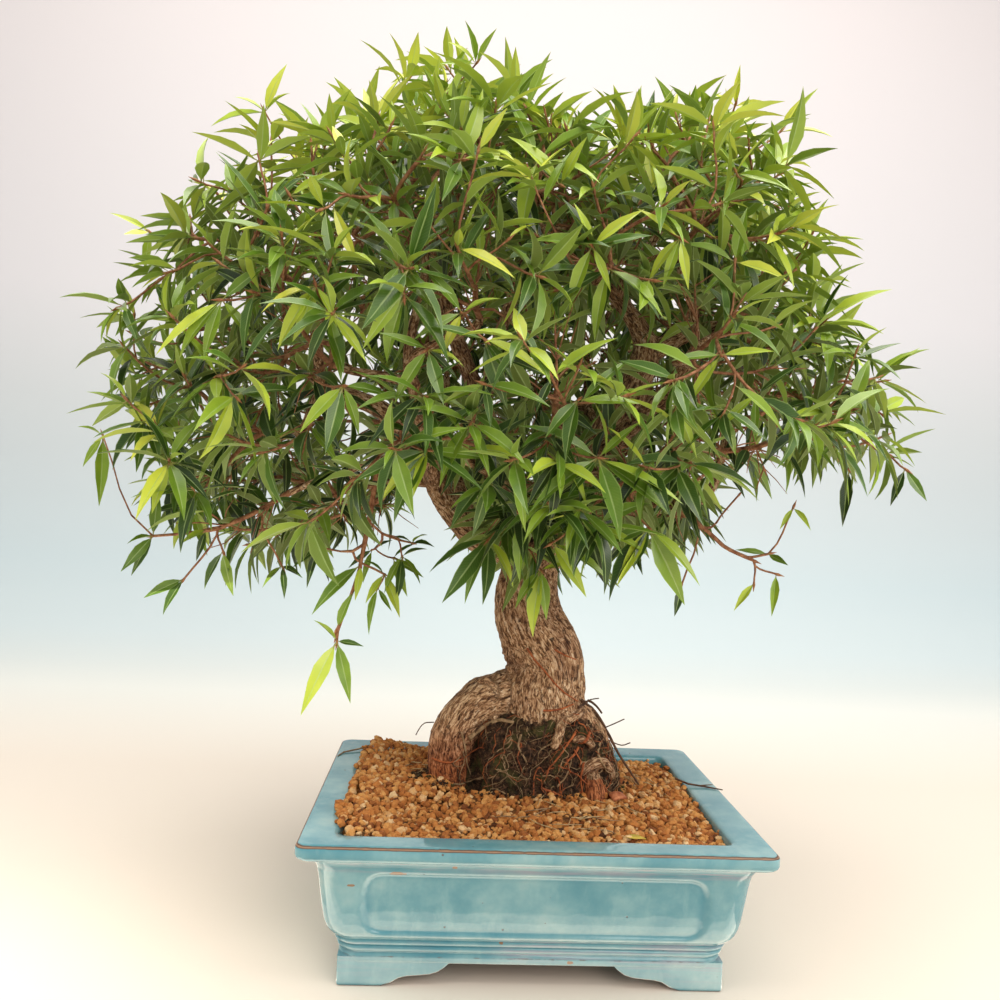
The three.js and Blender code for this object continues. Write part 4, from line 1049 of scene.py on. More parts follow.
# Roots that stand out one by one in front: their thickness, their finish (0 live, 1 dry, 2 old), and their
# places across and up. Each one lies on the skin behind it.
FRONT_ROOTS = [
    (2.3, 1, [(-51, 157), (-42, 164), (-32, 172), (-24, 175), (-14, 174)]),
    (1.0, 1, [(-8, 165), (-10, 156), (-5, 148), (-2, 142)]),
    (1.1, 0, [(39, 168), (31, 158), (25, 150), (17, 140), (14, 133)]),
    (0.9, 0, [(47, 143), (44, 133), (46, 118)]),
    (0.7, 0, [(4, 114), (4, 132), (8, 140), (12, 136)]),
    (0.9, 1, [(24, 124), (31, 133), (35, 143), (36, 150)]),
    (0.8, 1, [(-72, 119), (-52, 118), (-43, 123), (-30, 131)]),
    (1.0, 0, [(11, 123), (20, 120), (29, 115), (41, 108)]),
    (1.3, 2, [(45, 192), (56, 183), (63, 175), (71, 162), (78, 149), (88, 135), (96, 124)]),
    (0.8, 1, [(71, 157), (77, 144), (81, 128)]),
    (1.2, 2, [(42, 187), (53, 189), (61, 184), (66, 178)]),
    (0.9, 0, [(10, 186), (24, 187), (37, 190)]),
    (0.8, 0, [(-5, 237), (1, 228), (10, 219), (19, 209), (29, 200), (41, 192)]),
    (0.7, 0, [(18, 237), (28, 232), (38, 228)]),
    (0.9, 1, [(-58, 163), (-54, 148), (-52, 134), (-48, 124)]),
    (0.9, 0, [(-82, 138), (-70, 137), (-58, 139), (-48, 143), (-38, 150)]),
    (1.4, 0, [(52, 166), (44, 158), (38, 150), (30, 143)]),
    (1.2, 1, [(62, 158), (60, 148), (66, 138)]),
]
# Dry root ends that stand off the wood.
WHISKERS = [
    [(64, -14, 172), (72, -18, 177), (80, -18, 181)],
    [(44, -12, 192), (51, -15, 196), (58, -14, 197)],
    [(-82, 2, 168), (-90, -2, 168), (-94, -4, 164), (-97, -4, 158)],
    [(70, -12, 160), (79, -16, 158), (86, -18, 161)],
]


def front_root(skin, thick, places):
    """One root laid on whatever the front view shows behind it, here and there a little off it."""
    stops = []
    line = smooth_path([(x, 0, z, thick) for x, z in places], 3.5)
    for k, (x, _, z, radius) in enumerate(line):
        hit = skin.ray_cast(Vector((x, -200, z)), Vector((0, 1, 0)))[0]
        y = hit.y - radius * 0.5 if hit and hit.y < 40 else ball_front(min(max(x, -70), 68), z) - 2
        y -= 2.2 * max(0.0, noise.noise(Vector((k * 0.45, thick * 30, z * 0.02))))
        stops.append((x, y, z, radius * (1.15 - 0.5 * k / len(line))))
    return stops


def wandering_root(skin, chance, place, heading):
    """One fine root that wanders over the skin from a place, bowed away from it in the middle."""
    thick = chance.choice((0.2, 0.25, 0.3, 0.35, 0.4, 0.5, 0.7))
    steps = chance.choice((4, 5, 6, 8, 10))
    bow = chance.uniform(0.3, 3.5)
    stops = []
    for k in range(steps + 1):
        near, normal, _, _ = skin.find_nearest(Vector(place))
        if near.z < 112:
            break
        out = thick * 0.6 + bow * math.sin(math.pi * k / steps)
        stops.append((*(near + normal * out), thick * (1.1 - 0.7 * k / steps)))
        drift = np.array([chance.gauss(0, 0.42), chance.gauss(0, 0.42), chance.gauss(-0.1, 0.35)])
        heading = unit(heading + drift)
        place = np.array(near) + heading * 4.2
    return stops


def make_rootlets(skin):
    """Fine roots that leave the wood and wander down over the root ball into the granules."""
    chance = random.Random(77)
    paths = [(front_root(skin, thick, places), finish) for thick, finish, places in FRONT_ROOTS]
    for places in WHISKERS:
        paths.append(([tuple(p) for p in smooth_path([(*place, 0.5) for place in places], 3)], 2))
    for i in range(ROOTLET_COUNT):
        angle = chance.uniform(0, 2 * math.pi)
        if i % 3:
            # Two out of three are in front.
            angle = chance.uniform(math.pi * 1.05, math.pi * 2.05)
        z = chance.uniform(118, 188)
        across = math.sin(angle) * chance.gauss(0, 0.9)
        heading = np.array([across, math.cos(angle) * chance.gauss(0, 0.9), -0.7])
        half_x, half_y, middle_x, middle_y = level_at(z)
        place = np.array([middle_x + half_x * math.cos(angle), middle_y + half_y * math.sin(angle), z])
        if place[0] < -46 and chance.random() < 0.8:
            continue
        stops = wandering_root(skin, chance, place, heading)
        if len(stops) > 3:
            mostly_live = stops[0][0] > 14
            paths.append((stops, chance.choice((0, 0, 0, 1, 1, 2) if mostly_live else (0, 1, 1, 1, 2, 2))))
    make_sticks(paths, "rootlets", [RED_ROOT, TAN_ROOT, DARK_ROOT])


# The wood

# Each stretch of wood is a list of (x, y, z, radius) stops, from its thick end.
TRUNK = [
    (6, 15, 128, 20), (8, 15, 150, 28), (9, 15, 168, 34), (10, 15, 185, 38.5), (12, 15, 199, 37.5),
    (14.5, 15, 213, 35), (13.5, 15, 226, 34), (7.5, 15, 239, 33.5), (-2.5, 15, 261, 30.8),
    (-5.5, 15, 285, 27.5), (-1, 15, 310, 23), (16, 15, 330, 20.5), (34, 15, 350, 19),
    (47, 15, 384, 18.5), (58, 15, 420, 17), (77, 17, 457, 15), (91, 18, 498, 13),
    (84, 18, 522, 9.5), (66, 18, 545, 7), (44, 16, 566, 5),
]
TRUNK_DEPTH = 0.86
# How far the grain turns in each millimetre along the wood, in radians.
GRAIN_TWIST = 0.005
ROOTS = [
    [(2, 14, 194, 28), (-30, 13, 188, 22.5), (-50, 12, 177, 20.5), (-63, 10, 160, 19.5),
     (-67, 9, 140, 19), (-67, 9, 118, 18), (-66, 11, 94, 14)],
    [(18, 12, 194, 20), (36, 10, 180, 16.5), (48, 9, 166, 14.5), (56, 9, 150, 13),
     (62, 8, 128, 11), (65, 6, 96, 8)],
    [(4, 30, 190, 24), (3, 40, 160, 20), (5, 44, 128, 14), (6, 42, 96, 8)],
]
# The fold of bark where the left root leaves the trunk.
COLLAR = [(-46, -1, 205, 2.2), (-39, -2, 208, 2.8), (-33, -4, 205, 3), (-29, -6, 199, 3), (-28, -7, 192, 2.8),
          (-31, -7, 187, 2.2)]
# Knuckled roots that stand out of the root ball in front, as (across, up, radius).
KNUCKLES = [
    [(30, 186, 6.5), (27, 179, 5.6), (25, 170, 4.8), (22, 162, 4.6), (19, 155, 3.4)],
    [(31, 177, 5), (41, 181, 4.4), (49, 182, 4.6), (56, 178, 4.2), (62, 172, 3.6), (67, 163, 3),
     (69, 154, 2.4)],
    [(44, 134, 3), (50, 140, 4.6), (57, 142.5, 5.2), (65, 141, 5.2), (71, 135, 4.6), (74, 126, 3.6)],
    [(-20, 190, 6), (-27, 181, 4.5), (-31, 173, 3)],
    [(36, 161, 3), (43, 163, 3.6), (50, 160, 3.4), (55, 154, 2.8)],
    [(8, 186, 4), (9, 178, 3), (6, 170, 2)],
]
CUT_ROOT = [(55, -4, 130, 6), (55, -13, 128.5, 8), (56, -19, 122, 9.5), (57, -21, 104, 10.5)]
# Creases in the bark in front, by where the view shows them.
CREASES = [
    [(549, 676), (558, 688), (568, 697), (584, 703)],
    [(487, 677), (496, 683), (499, 692), (496, 702), (490, 707)],
    [(508, 652), (521, 656), (534, 654)],
    [(508, 663), (522, 668), (536, 666), (548, 660)],
    [(513, 676), (511, 688), (504, 699), (497, 710)],
    [(556, 650), (566, 664), (574, 680), (578, 694)],
    [(524, 620), (531, 634), (529, 648)],
]
LIMBS = [
    [(-2, 15, 304, 15), (-26, 14, 318, 12.5), (-53, 14, 328, 11.5), (-80, 12, 358, 11),
     (-92, 10, 382, 10.5), (-104, 8, 406, 10), (-142, 4, 437, 8.5), (-186, 2, 452, 6.5)],
    [(-4, 16, 302, 12), (-16, 24, 345, 9.5), (-30, 30, 400, 8.5), (-58, 32, 460, 8),
     (-84, 26, 520, 7), (-102, 22, 575, 5.5)],
    [(90, 18, 496, 10), (116, 16, 512, 8), (146, 14, 524, 6.5), (184, 16, 536, 5)],
    [(44, 15, 374, 13), (62, 60, 398, 9), (66, 110, 428, 7), (62, 150, 462, 5.5)],
    [(-52, 14, 327, 9), (-62, 60, 352, 8), (-76, 105, 390, 6.5), (-88, 146, 428, 5.5)],
    [(56, 15, 412, 11), (74, -34, 432, 8), (92, -80, 458, 6.5), (104, -118, 486, 5)],
    [(-90, 10, 377, 8.5), (-96, -32, 402, 7.5), (-104, -78, 430, 6), (-112, -116, 460, 5)],
    [(-50, 31, 444, 6.5), (-44, 4, 492, 6), (-30, -30, 540, 5), (-18, -56, 580, 4.5)],
    [(30, 15, 346, 12), (58, 4, 356, 8.5), (96, -8, 362, 7), (140, -16, 372, 5.5)],
]
# Long twigs that hang below the crown.
HANGING = [
    [(-134, -70, 389), (-139, -70, 344), (-145, -70, 304), (-160, -70, 252)],
    [(-203, -60, 361), (-233, -60, 342), (-258, -60, 330), (-284, -60, 325)],
    [(113, -40, 362), (135, -40, 347), (152, -40, 333), (178, -40, 322)],
]


def reach(direction):
    """How far the leaf tips reach from the crown's middle in a direction."""
    flat = math.hypot(direction[0], direction[2])
    turn = math.atan2(direction[2], direction[0]) / (2 * math.pi)
    turn = (turn - math.floor(turn)) * len(CROWN_REACH)
    low = int(turn) % len(CROWN_REACH)
    high = (low + 1) % len(CROWN_REACH)
    part = turn - math.floor(turn)
    sideways = REACH_SCALE * (CROWN_REACH[low] * (1 - part) + CROWN_REACH[high] * part)
    depthways = CROWN_FRONT if direction[1] < 0 else CROWN_BACK
    a = (flat / sideways) ** CROWN_FULLNESS
    b = (abs(direction[1]) / depthways) ** CROWN_FULLNESS
    return (a + b) ** (-1 / CROWN_FULLNESS)


def spiral_direction(i, count, turn):
    """The i-th of a count of directions spread evenly over the sphere."""
    z = 1 - (2 * (i + 0.5)) / count
    r = math.sqrt(1 - z * z)
    angle = i * GOLDEN_ANGLE + turn
    return np.array([r * math.cos(angle), r * math.sin(angle), z])


def bend(a, leave, b, arrive, steps):
    """A smooth path between two places, with a direction at each end."""
    size = np.linalg.norm(b - a)
    c1 = a + leave * size * 0.36
    c2 = b - arrive * size * 0.32
    return [(1 - t) ** 3 * a + 3 * (1 - t) ** 2 * t * c1 + 3 * (1 - t) * t * t * c2 + t ** 3 * b
            for t in (k / steps for k in range(steps + 1))]


def spray_bases():
    """Where each spray of leaves joins the wood, in the order of the CAD nodes."""
    bases = []
    for path in HANGING:
        points = [np.array(p, float) for p in path]
        bases.append((points[0], unit(points[1] - points[0]), points))
    for i in range(SPRAY_COUNT):
        d = spiral_direction(i, SPRAY_COUNT, 0.4)
        if not (d[2] < -0.62 and d[1] > -0.35) and d[2] > -0.86:
            bases.append((CROWN + d * reach(d) * 0.6, unit(d + np.array([0, 0, 0.25])), None))
    return bases


def add_joints(joints, stops):
    """Notes places along a stretch of wood where a branch may leave it, as (place, direction, radius)."""
    for (a, radius_a), (b, radius_b) in zip(stops, stops[1:]):
        for t in (0, 0.5):
            joints.append((a * (1 - t) + b * t, unit(b - a), radius_a * (1 - t) + radius_b * t))


def joining_cost(joint, at, out):
    """How badly a branch would run from a joint to a spray: long, sharply turned, or off thin wood."""
    place, heading, radius = joint
    step = at - place
    size = np.linalg.norm(step)
    turn = 1 - step @ heading / size
    back = 1 - step @ out / size
    return size * (1 + 0.25 * turn + 0.35 * back) + (200 if size < 25 else 0) + 4 * max(0, 5 - radius)


def grow_branches(bases):
    """Joins every spray to the nearest wood that lies further in, the innermost sprays first."""
    joints = []
    for stops in [TRUNK[10:], *LIMBS]:
        stops = [(np.array(s[:3], float), float(s[3])) for s in stops]
        add_joints(joints, stops)
        joints.append((stops[-1][0], joints[-1][1], stops[-1][1]))
    branches = []
    order = sorted(range(len(bases)), key=lambda i: (np.linalg.norm(bases[i][0] - CROWN), i))
    for i in order:
        at, out, _ = bases[i]
        place, heading, radius = min(joints, key=lambda joint: joining_cost(joint, at, out))
        leave = unit(heading * 0.4 + unit(at - place) * 0.6)
        thick = min(radius * 0.8, 5.2)
        path = bend(place, leave, at, out, 12)
        stops = [(p, thick + (BRANCH_TIP_RADIUS - thick) * k / 12) for k, p in enumerate(path)]
        branches.append([(*p, tapered) for p, tapered in stops])
        add_joints(joints, stops[4::4])
    return branches


# What a row of the skeleton holds.
PLACE, AHEAD, SIDE, OTHER = (slice(i, i + 3) for i in (0, 3, 6, 9))
RADIUS, DISTANCE = 12, 13


def skeleton(paths):
    """Places along the middle of the wood, each with its frame, radius and distance along."""
    rows = []
    for stops in paths:
        line = np.array(smooth_path(stops, 3.0))
        ahead = np.gradient(line[:, :3], axis=0)
        ahead /= np.linalg.norm(ahead, axis=1, keepdims=True)
        along = np.concatenate([[0], np.cumsum(np.linalg.norm(np.diff(line[:, :3], axis=0), axis=1))])
        side = np.array([0.0, 1.0, 0.0])
        for p, t, s in zip(line, ahead, along):
            side = unit(side - t * (side @ t))
            rows.append(np.concatenate([p[:3], t, side, np.cross(t, side), [p[3], s]]))
    return np.array(rows)


def fibre_places(points, middles):
    """For each point on the wood, its place across and along the grain, and the wood's radius."""
    out = np.zeros((len(points), 3))
    radii = np.zeros(len(points))
    at_once = 4000
    for start in range(0, len(points), at_once):
        p = points[start:start + at_once]
        gap = np.linalg.norm(p[:, None, :] - middles[None, :, PLACE], axis=2) - middles[None, :, RADIUS]
        near = middles[gap.argmin(axis=1)]
        d = p - near[:, PLACE]
        a = (d * near[:, SIDE]).sum(axis=1)
        b = (d * near[:, OTHER]).sum(axis=1)
        s = near[:, DISTANCE] + (d * near[:, AHEAD]).sum(axis=1)
        twist = GRAIN_TWIST * s
        out[start:start + at_once] = np.stack([a * np.cos(twist) - b * np.sin(twist),
                                               a * np.sin(twist) + b * np.cos(twist), s], axis=1)
        radii[start:start + at_once] = near[:, RADIUS]
    return out, radii


def store_fibre(mesh, middles):
    """Writes each vertex's place in the grain, and how close it is to the soil, for the bark to read."""
    co = np.zeros(len(mesh.vertices) * 3)
    mesh.vertices.foreach_get("co", co)
    co = co.reshape(-1, 3)
    places, radii = fibre_places(co, middles)
    fibre = mesh.attributes.new("fibre", "FLOAT_VECTOR", "POINT")
    fibre.data.foreach_set("vector", (places * 0.001).ravel())
    damp = mesh.attributes.new("damp", "FLOAT", "POINT")
    on_left = np.clip((20 - co[:, 0]) / 40, 0, 1)
    at_stump = (np.hypot(co[:, 0] - CUT_ROOT[-1][0], co[:, 1] - CUT_ROOT[-1][1]) < 15) & (co[:, 2] < 130)
    damp.data.foreach_set("value", np.maximum(on_left * np.clip((174 - co[:, 2]) / 45, 0, 1), at_stump))
    return co, places, radii


def remeshed(mesh, size):
    """One closed skin over everything in the mesh."""
    holder = new_object("wood_blank", mesh)
    modifier = holder.modifiers.new("skin", "REMESH")
    modifier.mode = "VOXEL"
    modifier.voxel_size = size
    return worked_out(holder)


def bark_relief(p, grain, radius):
    """How far the bark stands out: long flutes, lumps, flakes, and folds round the waist."""
    a, b, s = grain
    big = min(1.0, radius / 22)
    flutes = noise.noise(Vector((a / 12, b / 12, s / 60))) * 2.4
    lumps = noise.noise(Vector(p) / 20 + Vector((3, 7, 1))) * 2.6 + noise.noise(Vector(p) / 8) * 0.9
    strands = noise.noise(Vector((a / 2.4, b / 2.4, s / 8)))
    strands += 0.5 * noise.noise(Vector((a / 4.6, b / 4.6, s / 15 + 40)))
    fibres = -abs(strands) * 1.3 + 0.35
    waist = blend_in(p[2], 200, 212) * (1 - blend_in(p[2], 226, 240)) * (1 - blend_in(p[0], -4, 26))
    folds = waist * 0.7 * math.sin(p[2] * 1.05 + 2.4 * noise.noise(Vector(p) / 12))
    return big * (flutes + lumps) * 0.75 + min(1.0, radius / 9) * fibres + folds


def crease_depth(co):
    """How deep the creases in front press into the bark at each point."""
    marks = []
    for line in CREASES:
        stops = [(*at_depth(u, v, -18), 1.0) for u, v in line]
        marks += [(x, z) for x, _, z, _ in smooth_path(stops, 1.5)]
    marks = np.array(marks)
    depth = np.zeros(len(co))
    front = np.nonzero((co[:, 1] < 8) & (co[:, 2] > 165) & (co[:, 2] < 290))[0]
    across = co[front][:, [0, 2]]
    gap = np.linalg.norm(across[:, None, :] - marks[None, :, :], axis=2).min(axis=1)
    depth[front] = 2.0 * np.exp(-(gap / 1.9) ** 2)
    return depth


def as_sticks(lines, step):
    """Smoothed stretches of wood, as sticks takes them."""
    return [([tuple(s) for s in smooth_path(stops, step)], 0) for stops in lines]


def wood_skin(lines):
    """The trunk, flattened front to back, and the other stretches of wood under one smooth skin."""
    trunk = sticks(as_sticks([TRUNK], 7), [BARK], 8)
    to_middle = Matrix.Translation((0, TRUNK[0][1], 0))
    trunk.transform(to_middle @ Matrix.Diagonal((1, TRUNK_DEPTH, 1, 1)) @ to_middle.inverted())
    bm = bmesh.new()
    bm.from_mesh(trunk)
    bm.from_mesh(sticks(as_sticks(lines, 6), [BARK], 6))
    skin = remeshed(as_mesh(bm, "wood_blank"), 1.7)
    bm = bmesh.new()
    bm.from_mesh(skin)
    for _ in range(4):
        bmesh.ops.smooth_vert(bm, verts=bm.verts, factor=0.5,
                              use_axis_x=True, use_axis_y=True, use_axis_z=True)
    bm.to_mesh(skin)
    bm.free()
    return skin


def make_trunk(branches):
    """Trunk, surface roots and limbs as one skin, with the thinner branches joined to it."""
    knuckles = [[(x, ball_front(x, z) - 0.3 * radius, z, radius) for x, z, radius in stops]
                for stops in KNUCKLES]
    lines = ROOTS + knuckles + [COLLAR, CUT_ROOT] + LIMBS
    skin = wood_skin(lines)
    co, places, radii = store_fibre(skin, skeleton([TRUNK] + lines))
    normals = np.zeros(len(skin.vertices) * 3)
    skin.vertices.foreach_get("normal", normals)
    rise = np.array([bark_relief(p, g, r) for p, g, r in zip(co, places, radii)]) - crease_depth(co)
    skin.vertices.foreach_set("co", (co + normals.reshape(-1, 3) * rise[:, None]).ravel())
    thin = sticks([(stops, 0) for stops in branches], [BARK], 2)
    store_fibre(thin, skeleton(branches))
    bm = bmesh.new()
    bm.from_mesh(skin)
    bm.from_mesh(thin)
    return make_piece(bm, "trunk_and_branches", [BARK], ["trunk"])


# The leaves

# A leaf's width along its length, as shares of its greatest width and its length.
LEAF_ROWS = [(0.0, 0.09), (0.09, 0.12), (0.23, 0.66), (0.42, 1.0), (0.63, 0.82), (0.84, 0.36), (1.0, 0.0)]
# Kinds of leaf: how much it is folded along its midrib, arched, swayed to a side and hooked at its tip.
LEAF_KINDS = [
    (0.04, 0.10, 0.0, 0.15), (0.06, 0.18, 0.04, 0.35), (0.03, 0.05, -0.04, 0.2), (0.05, 0.24, -0.03, 0.3),
    (0.08, 0.12, 0.06, 0.5), (0.04, 0.30, 0.02, 0.1),
]

# Stars of leaves that stand out in front: where the view shows the twig's end, how far back it is (None
# where it is on the crown's face), and where the view shows each leaf's tip.
FRONT_STARS = [
    (428, 450, None, [(377, 498), (389, 517), (354, 474), (394, 405), (489, 457), (484, 487), (411, 495),
                      (471, 397)]),
    (598, 458, None, [(528, 413), (527, 500), (566, 496), (626, 537), (671, 506), (687, 494), (639, 420)]),
    (489, 539, None, [(426, 560), (443, 601), (487, 601), (459, 598), (522, 579)]),
    (541, 570, None, [(529, 636), (548, 616), (571, 559), (512, 604)]),
    (552, 543, None, [(616, 570), (590, 592)]),
    (343, 386, None, [(363, 432), (325, 452), (393, 387), (300, 428)]),
    (428, 349, None, [(391, 400), (443, 404), (459, 376), (466, 360), (380, 330)]),
    (485, 384, None, [(441, 400), (492, 427), (548, 392)]),
    (484, 339, None, [(548, 358), (516, 379), (507, 408), (430, 322)]),
    (462, 313, None, [(414, 330), (441, 351), (428, 262), (497, 292)]),
    (578, 400, None, [(639, 400), (545, 433), (560, 455)]),
    (552, 378, None, [(535, 411), (606, 330), (500, 352)]),
    (649, 528, None, [(706, 570), (687, 603), (634, 566), (617, 583), (601, 593), (600, 543)]),
    (756, 395, None, [(717, 425), (754, 442), (802, 360), (820, 434)]),
    (721, 355, None, [(683, 407), (773, 347), (671, 356)]),
    (592, 246, None, [(567, 196), (583, 204), (532, 234), (650, 232), (566, 309), (613, 290), (640, 206)]),
    (560, 185, None, [(517, 128), (533, 148), (500, 186), (585, 136)]),
    (735, 262, None, [(744, 207), (790, 274), (701, 294), (683, 236), (722, 318)]),
    (680, 238, None, [(690, 286), (642, 275), (662, 287), (640, 206)]),
    (290, 196, None, [(348, 216), (385, 196), (330, 168), (262, 244)]),
    (316, 286, None, [(271, 344), (340, 322), (360, 268), (296, 340), (258, 300)]),
    (222, 300, None, [(172, 350), (200, 356), (254, 336), (264, 262), (150, 348)]),
    (905, 469, -60, [(956, 497), (927, 501), (890, 505)]),
    (849, 470, -100, [(843, 524)]),
    (337, 641, -70, [(299, 708), (351, 701), (362, 644), (322, 618)]),
    (337, 629, -70, [(351, 590)]),
    (361, 565, -70, [(307, 603), (356, 598)]),
    (393, 558, 20, [(424, 575), (406, 593), (412, 539)]),
    (378, 588, 20, [(391, 610), (362, 628)]),
    (262, 512, -60, [(250, 548), (238, 500)]),
    (206, 530, -60, [(196, 560), (214, 500), (182, 540)]),
    (153, 536, -60, [(129, 538), (158, 490), (121, 570), (130, 575)]),
    (223, 551, -60, [(230, 595), (201, 587)]),
    (184, 579, -60, [(143, 596), (159, 611)]),
    (103, 436, -20, [(81, 466), (101, 502), (84, 420)]),
    (754, 583, -40, [(734, 609)]),
    (776, 574, -40, [(773, 614)]),
    (768, 554, -40, [(787, 564), (736, 548)]),
    (682, 584, -60, [(675, 616)]),
    (793, 508, -40, [(812, 522), (780, 528)]),
    (738, 496, -20, []),
    (764, 468, 10, []),
    (724, 512, -10, []),
    (265, 112, -10, [(279, 62), (240, 90), (210, 114), (285, 88)]),
    (476, 64, -70, [(494, 27), (470, 22), (455, 36), (440, 60)]),
    (735, 106, -60, [(739, 66), (716, 92), (764, 100)]),
    (780, 132, -40, [(815, 86), (832, 122), (800, 96)]),
    (402, 556, 0, [(424, 545), (425, 577), (398, 602), (381, 588)]),
    (384, 574, 0, [(364, 602), (370, 556), (402, 612)]),
    (372, 550, 10, [(350, 562), (390, 538), (362, 582)]),
    (412, 543, 0, [(432, 542), (423, 528), (398, 530)]),
    (318, 548, -30, [(292, 566), (304, 584), (330, 580)]),
    (282, 566, -40, [(262, 580), (286, 596), (300, 572)]),
    (150, 232, -20, [(117, 208), (124, 232), (143, 268)]),
]
# No other twig may end this close to one of them in the view.
STAR_ROOM = 27
# Leaf tips of this spring's growth, still yellow-green.
YOUNG_TIPS = {(377, 498), (411, 495), (529, 636), (522, 579), (640, 206), (690, 286), (117, 208), (739, 66),
              (716, 92)}
# Gaps between the leaves in front, through which the wood shows: place in the view, and radius.
CLEARINGS = [(455, 512, 40), (652, 330, 48), (590, 322, 34), (494, 282, 26), (360, 368, 38), (640, 425, 30),
             (765, 485, 46), (325, 480, 28)]
# The lowest that the view shows twig ends, from left to right.
LOWER_EDGE = [
    (80, 440), (110, 472), (150, 505), (200, 530), (240, 548), (290, 540), (330, 525), (400, 512),
    (425, 462), (462, 478), (490, 540), (520, 562), (560, 570), (610, 545), (660, 535), (695, 532),
    (715, 480), (760, 455), (800, 445), (860, 470), (910, 452), (960, 440),
]
# How far the crown may reach from the part's middle, each way, and up.
KEEP_IN = (354, 284, 748)
# Twig ends over the whole crown: how many, how deep inside its face, and where the spiral of them starts.
STAR_LAYERS = [(680, 40, 1.1), (300, 82, 2.3), (110, 135, 0.2)]
LEAF_WIDTH = (0.18, 0.265)
SHORTEST_SEEN_LEAF = 26
TWIG_WIDEST = 2.6


def leaf_shape(fold, arch, sway, hook):
    """One leaf, 1 long and 1 wide: a thin blade folded along its midrib and arched towards its tip."""
    bm = bmesh.new()
    uv = bm.loops.layers.uv.new("leaf")
    under = bm.faces.layers.float.new("under")
    bmesh.ops.create_grid(bm, x_segments=2, y_segments=len(LEAF_ROWS) - 1, size=0.5)
    for v in bm.verts:
        row = round((v.co.y + 0.5) * (len(LEAF_ROWS) - 1))
        v.co.y = LEAF_ROWS[row][0]
    for face in bm.faces:
        for loop in face.loops:
            loop[uv].uv = (loop.vert.co.x + 0.5, loop.vert.co.y)
    copied = bmesh.ops.duplicate(bm, geom=bm.verts[:] + bm.edges[:] + bm.faces[:])["geom"]
    below = [g for g in copied if isinstance(g, bmesh.types.BMFace)]
    bmesh.ops.reverse_faces(bm, faces=below)
    for face in below:
        face[under] = 1.0
    lower = set(verts_of(copied))
    for v in bm.verts:
        t = v.co.y
        wide = next(w for place, w in LEAF_ROWS if abs(place - t) < 1e-4)
        x = v.co.x * 2
        v.co.x = x * wide / 2
        thick = 0.01 if v in lower and abs(x) < 0.5 and 0 < t < 1 else 0.0
        v.co.z = abs(x) * wide * fold - arch * t * t - hook * max(0.0, t - 0.6) ** 2 - thick
        v.co.x += sway * t * t
    bmesh.ops.remove_doubles(bm, verts=bm.verts, dist=0.002)
    for e in bm.edges:
        rim = {f[under] for f in e.link_faces} == {0.0, 1.0}
        e.smooth = not rim and not all(abs(v.co.x - sway * v.co.y ** 2) < 0.001 for v in e.verts)
    shape = as_mesh(bm, "leaf")
    shape.attributes.new("tone", "FLOAT", "FACE")
    return shape


def leaf_matrix(base, along, up, length, width):
    """Lays a leaf out from its base along a direction, with its upper side towards up."""
    side = unit(np.cross(along, up))
    normal = np.cross(side, along)
    m = np.eye(4)
    m[:3, 0] = side * width
    m[:3, 1] = along * length
    m[:3, 2] = normal * length
    m[:3, 3] = base
    return m


def droop_at(z):
    """How much leaves hang: upright at the top of the crown, drooping low down."""
    return min(max(0.5 - (z - 330) / 620, -0.15), 0.6)


def leaf_tone(chance, z, youth):
    """Darker low in the crown and lighter high up, and yellow-green on new growth."""
    return min(max(chance.gauss(0.32 + 0.25 * blend_in(z, 360, 690), 0.16) + youth, 0.0), 0.98)


def grow_leaf(leaves, chance, base, axis, around, spread_out, length, tone):
    """Sets one leaf on a twig, leaning out from the twig's axis and pulled down by its weight."""
    helper = np.array([0.0, 0.0, 1.0]) if abs(axis[2]) < 0.9 else np.array([1.0, 0.0, 0.0])
    side = unit(np.cross(helper, axis))
    other = np.cross(axis, side)
    out = side * math.cos(around) + other * math.sin(around)
    along = axis * math.cos(spread_out) + out * math.sin(spread_out)
    along[2] -= droop_at(base[2]) * chance.uniform(0.2, 1.25)
    along = unit(along)
    face = np.array([0, 0, 0.9]) + axis * 0.6
    add_leaf(leaves, chance, base, along, face, length, tone)


def add_leaf(leaves, chance, base, along, face, length, tone):
    """Notes one leaf whose upper side looks roughly towards face, unless it would stick out too far."""
    face = unit(face - along * (face @ along)) + jitter(chance, 0.35)
    face = unit(face - along * (face @ along))
    tip = base + (along - face * 0.25) * length + np.array(POT_MIDDLE) * 1000
    if any(abs(reached) > most for reached, most in zip(tip, KEEP_IN)):
        return
    # Leaves deep inside the crown are painted darker, as the shade that falls there.
    tone = max(tone - 0.36 * blend_in(depth_in(base), 22, 105), 0.0)
    kind = chance.randrange(len(LEAF_KINDS))
    leaves.append((kind, base, along, face, length, length * chance.uniform(*LEAF_WIDTH), tone))


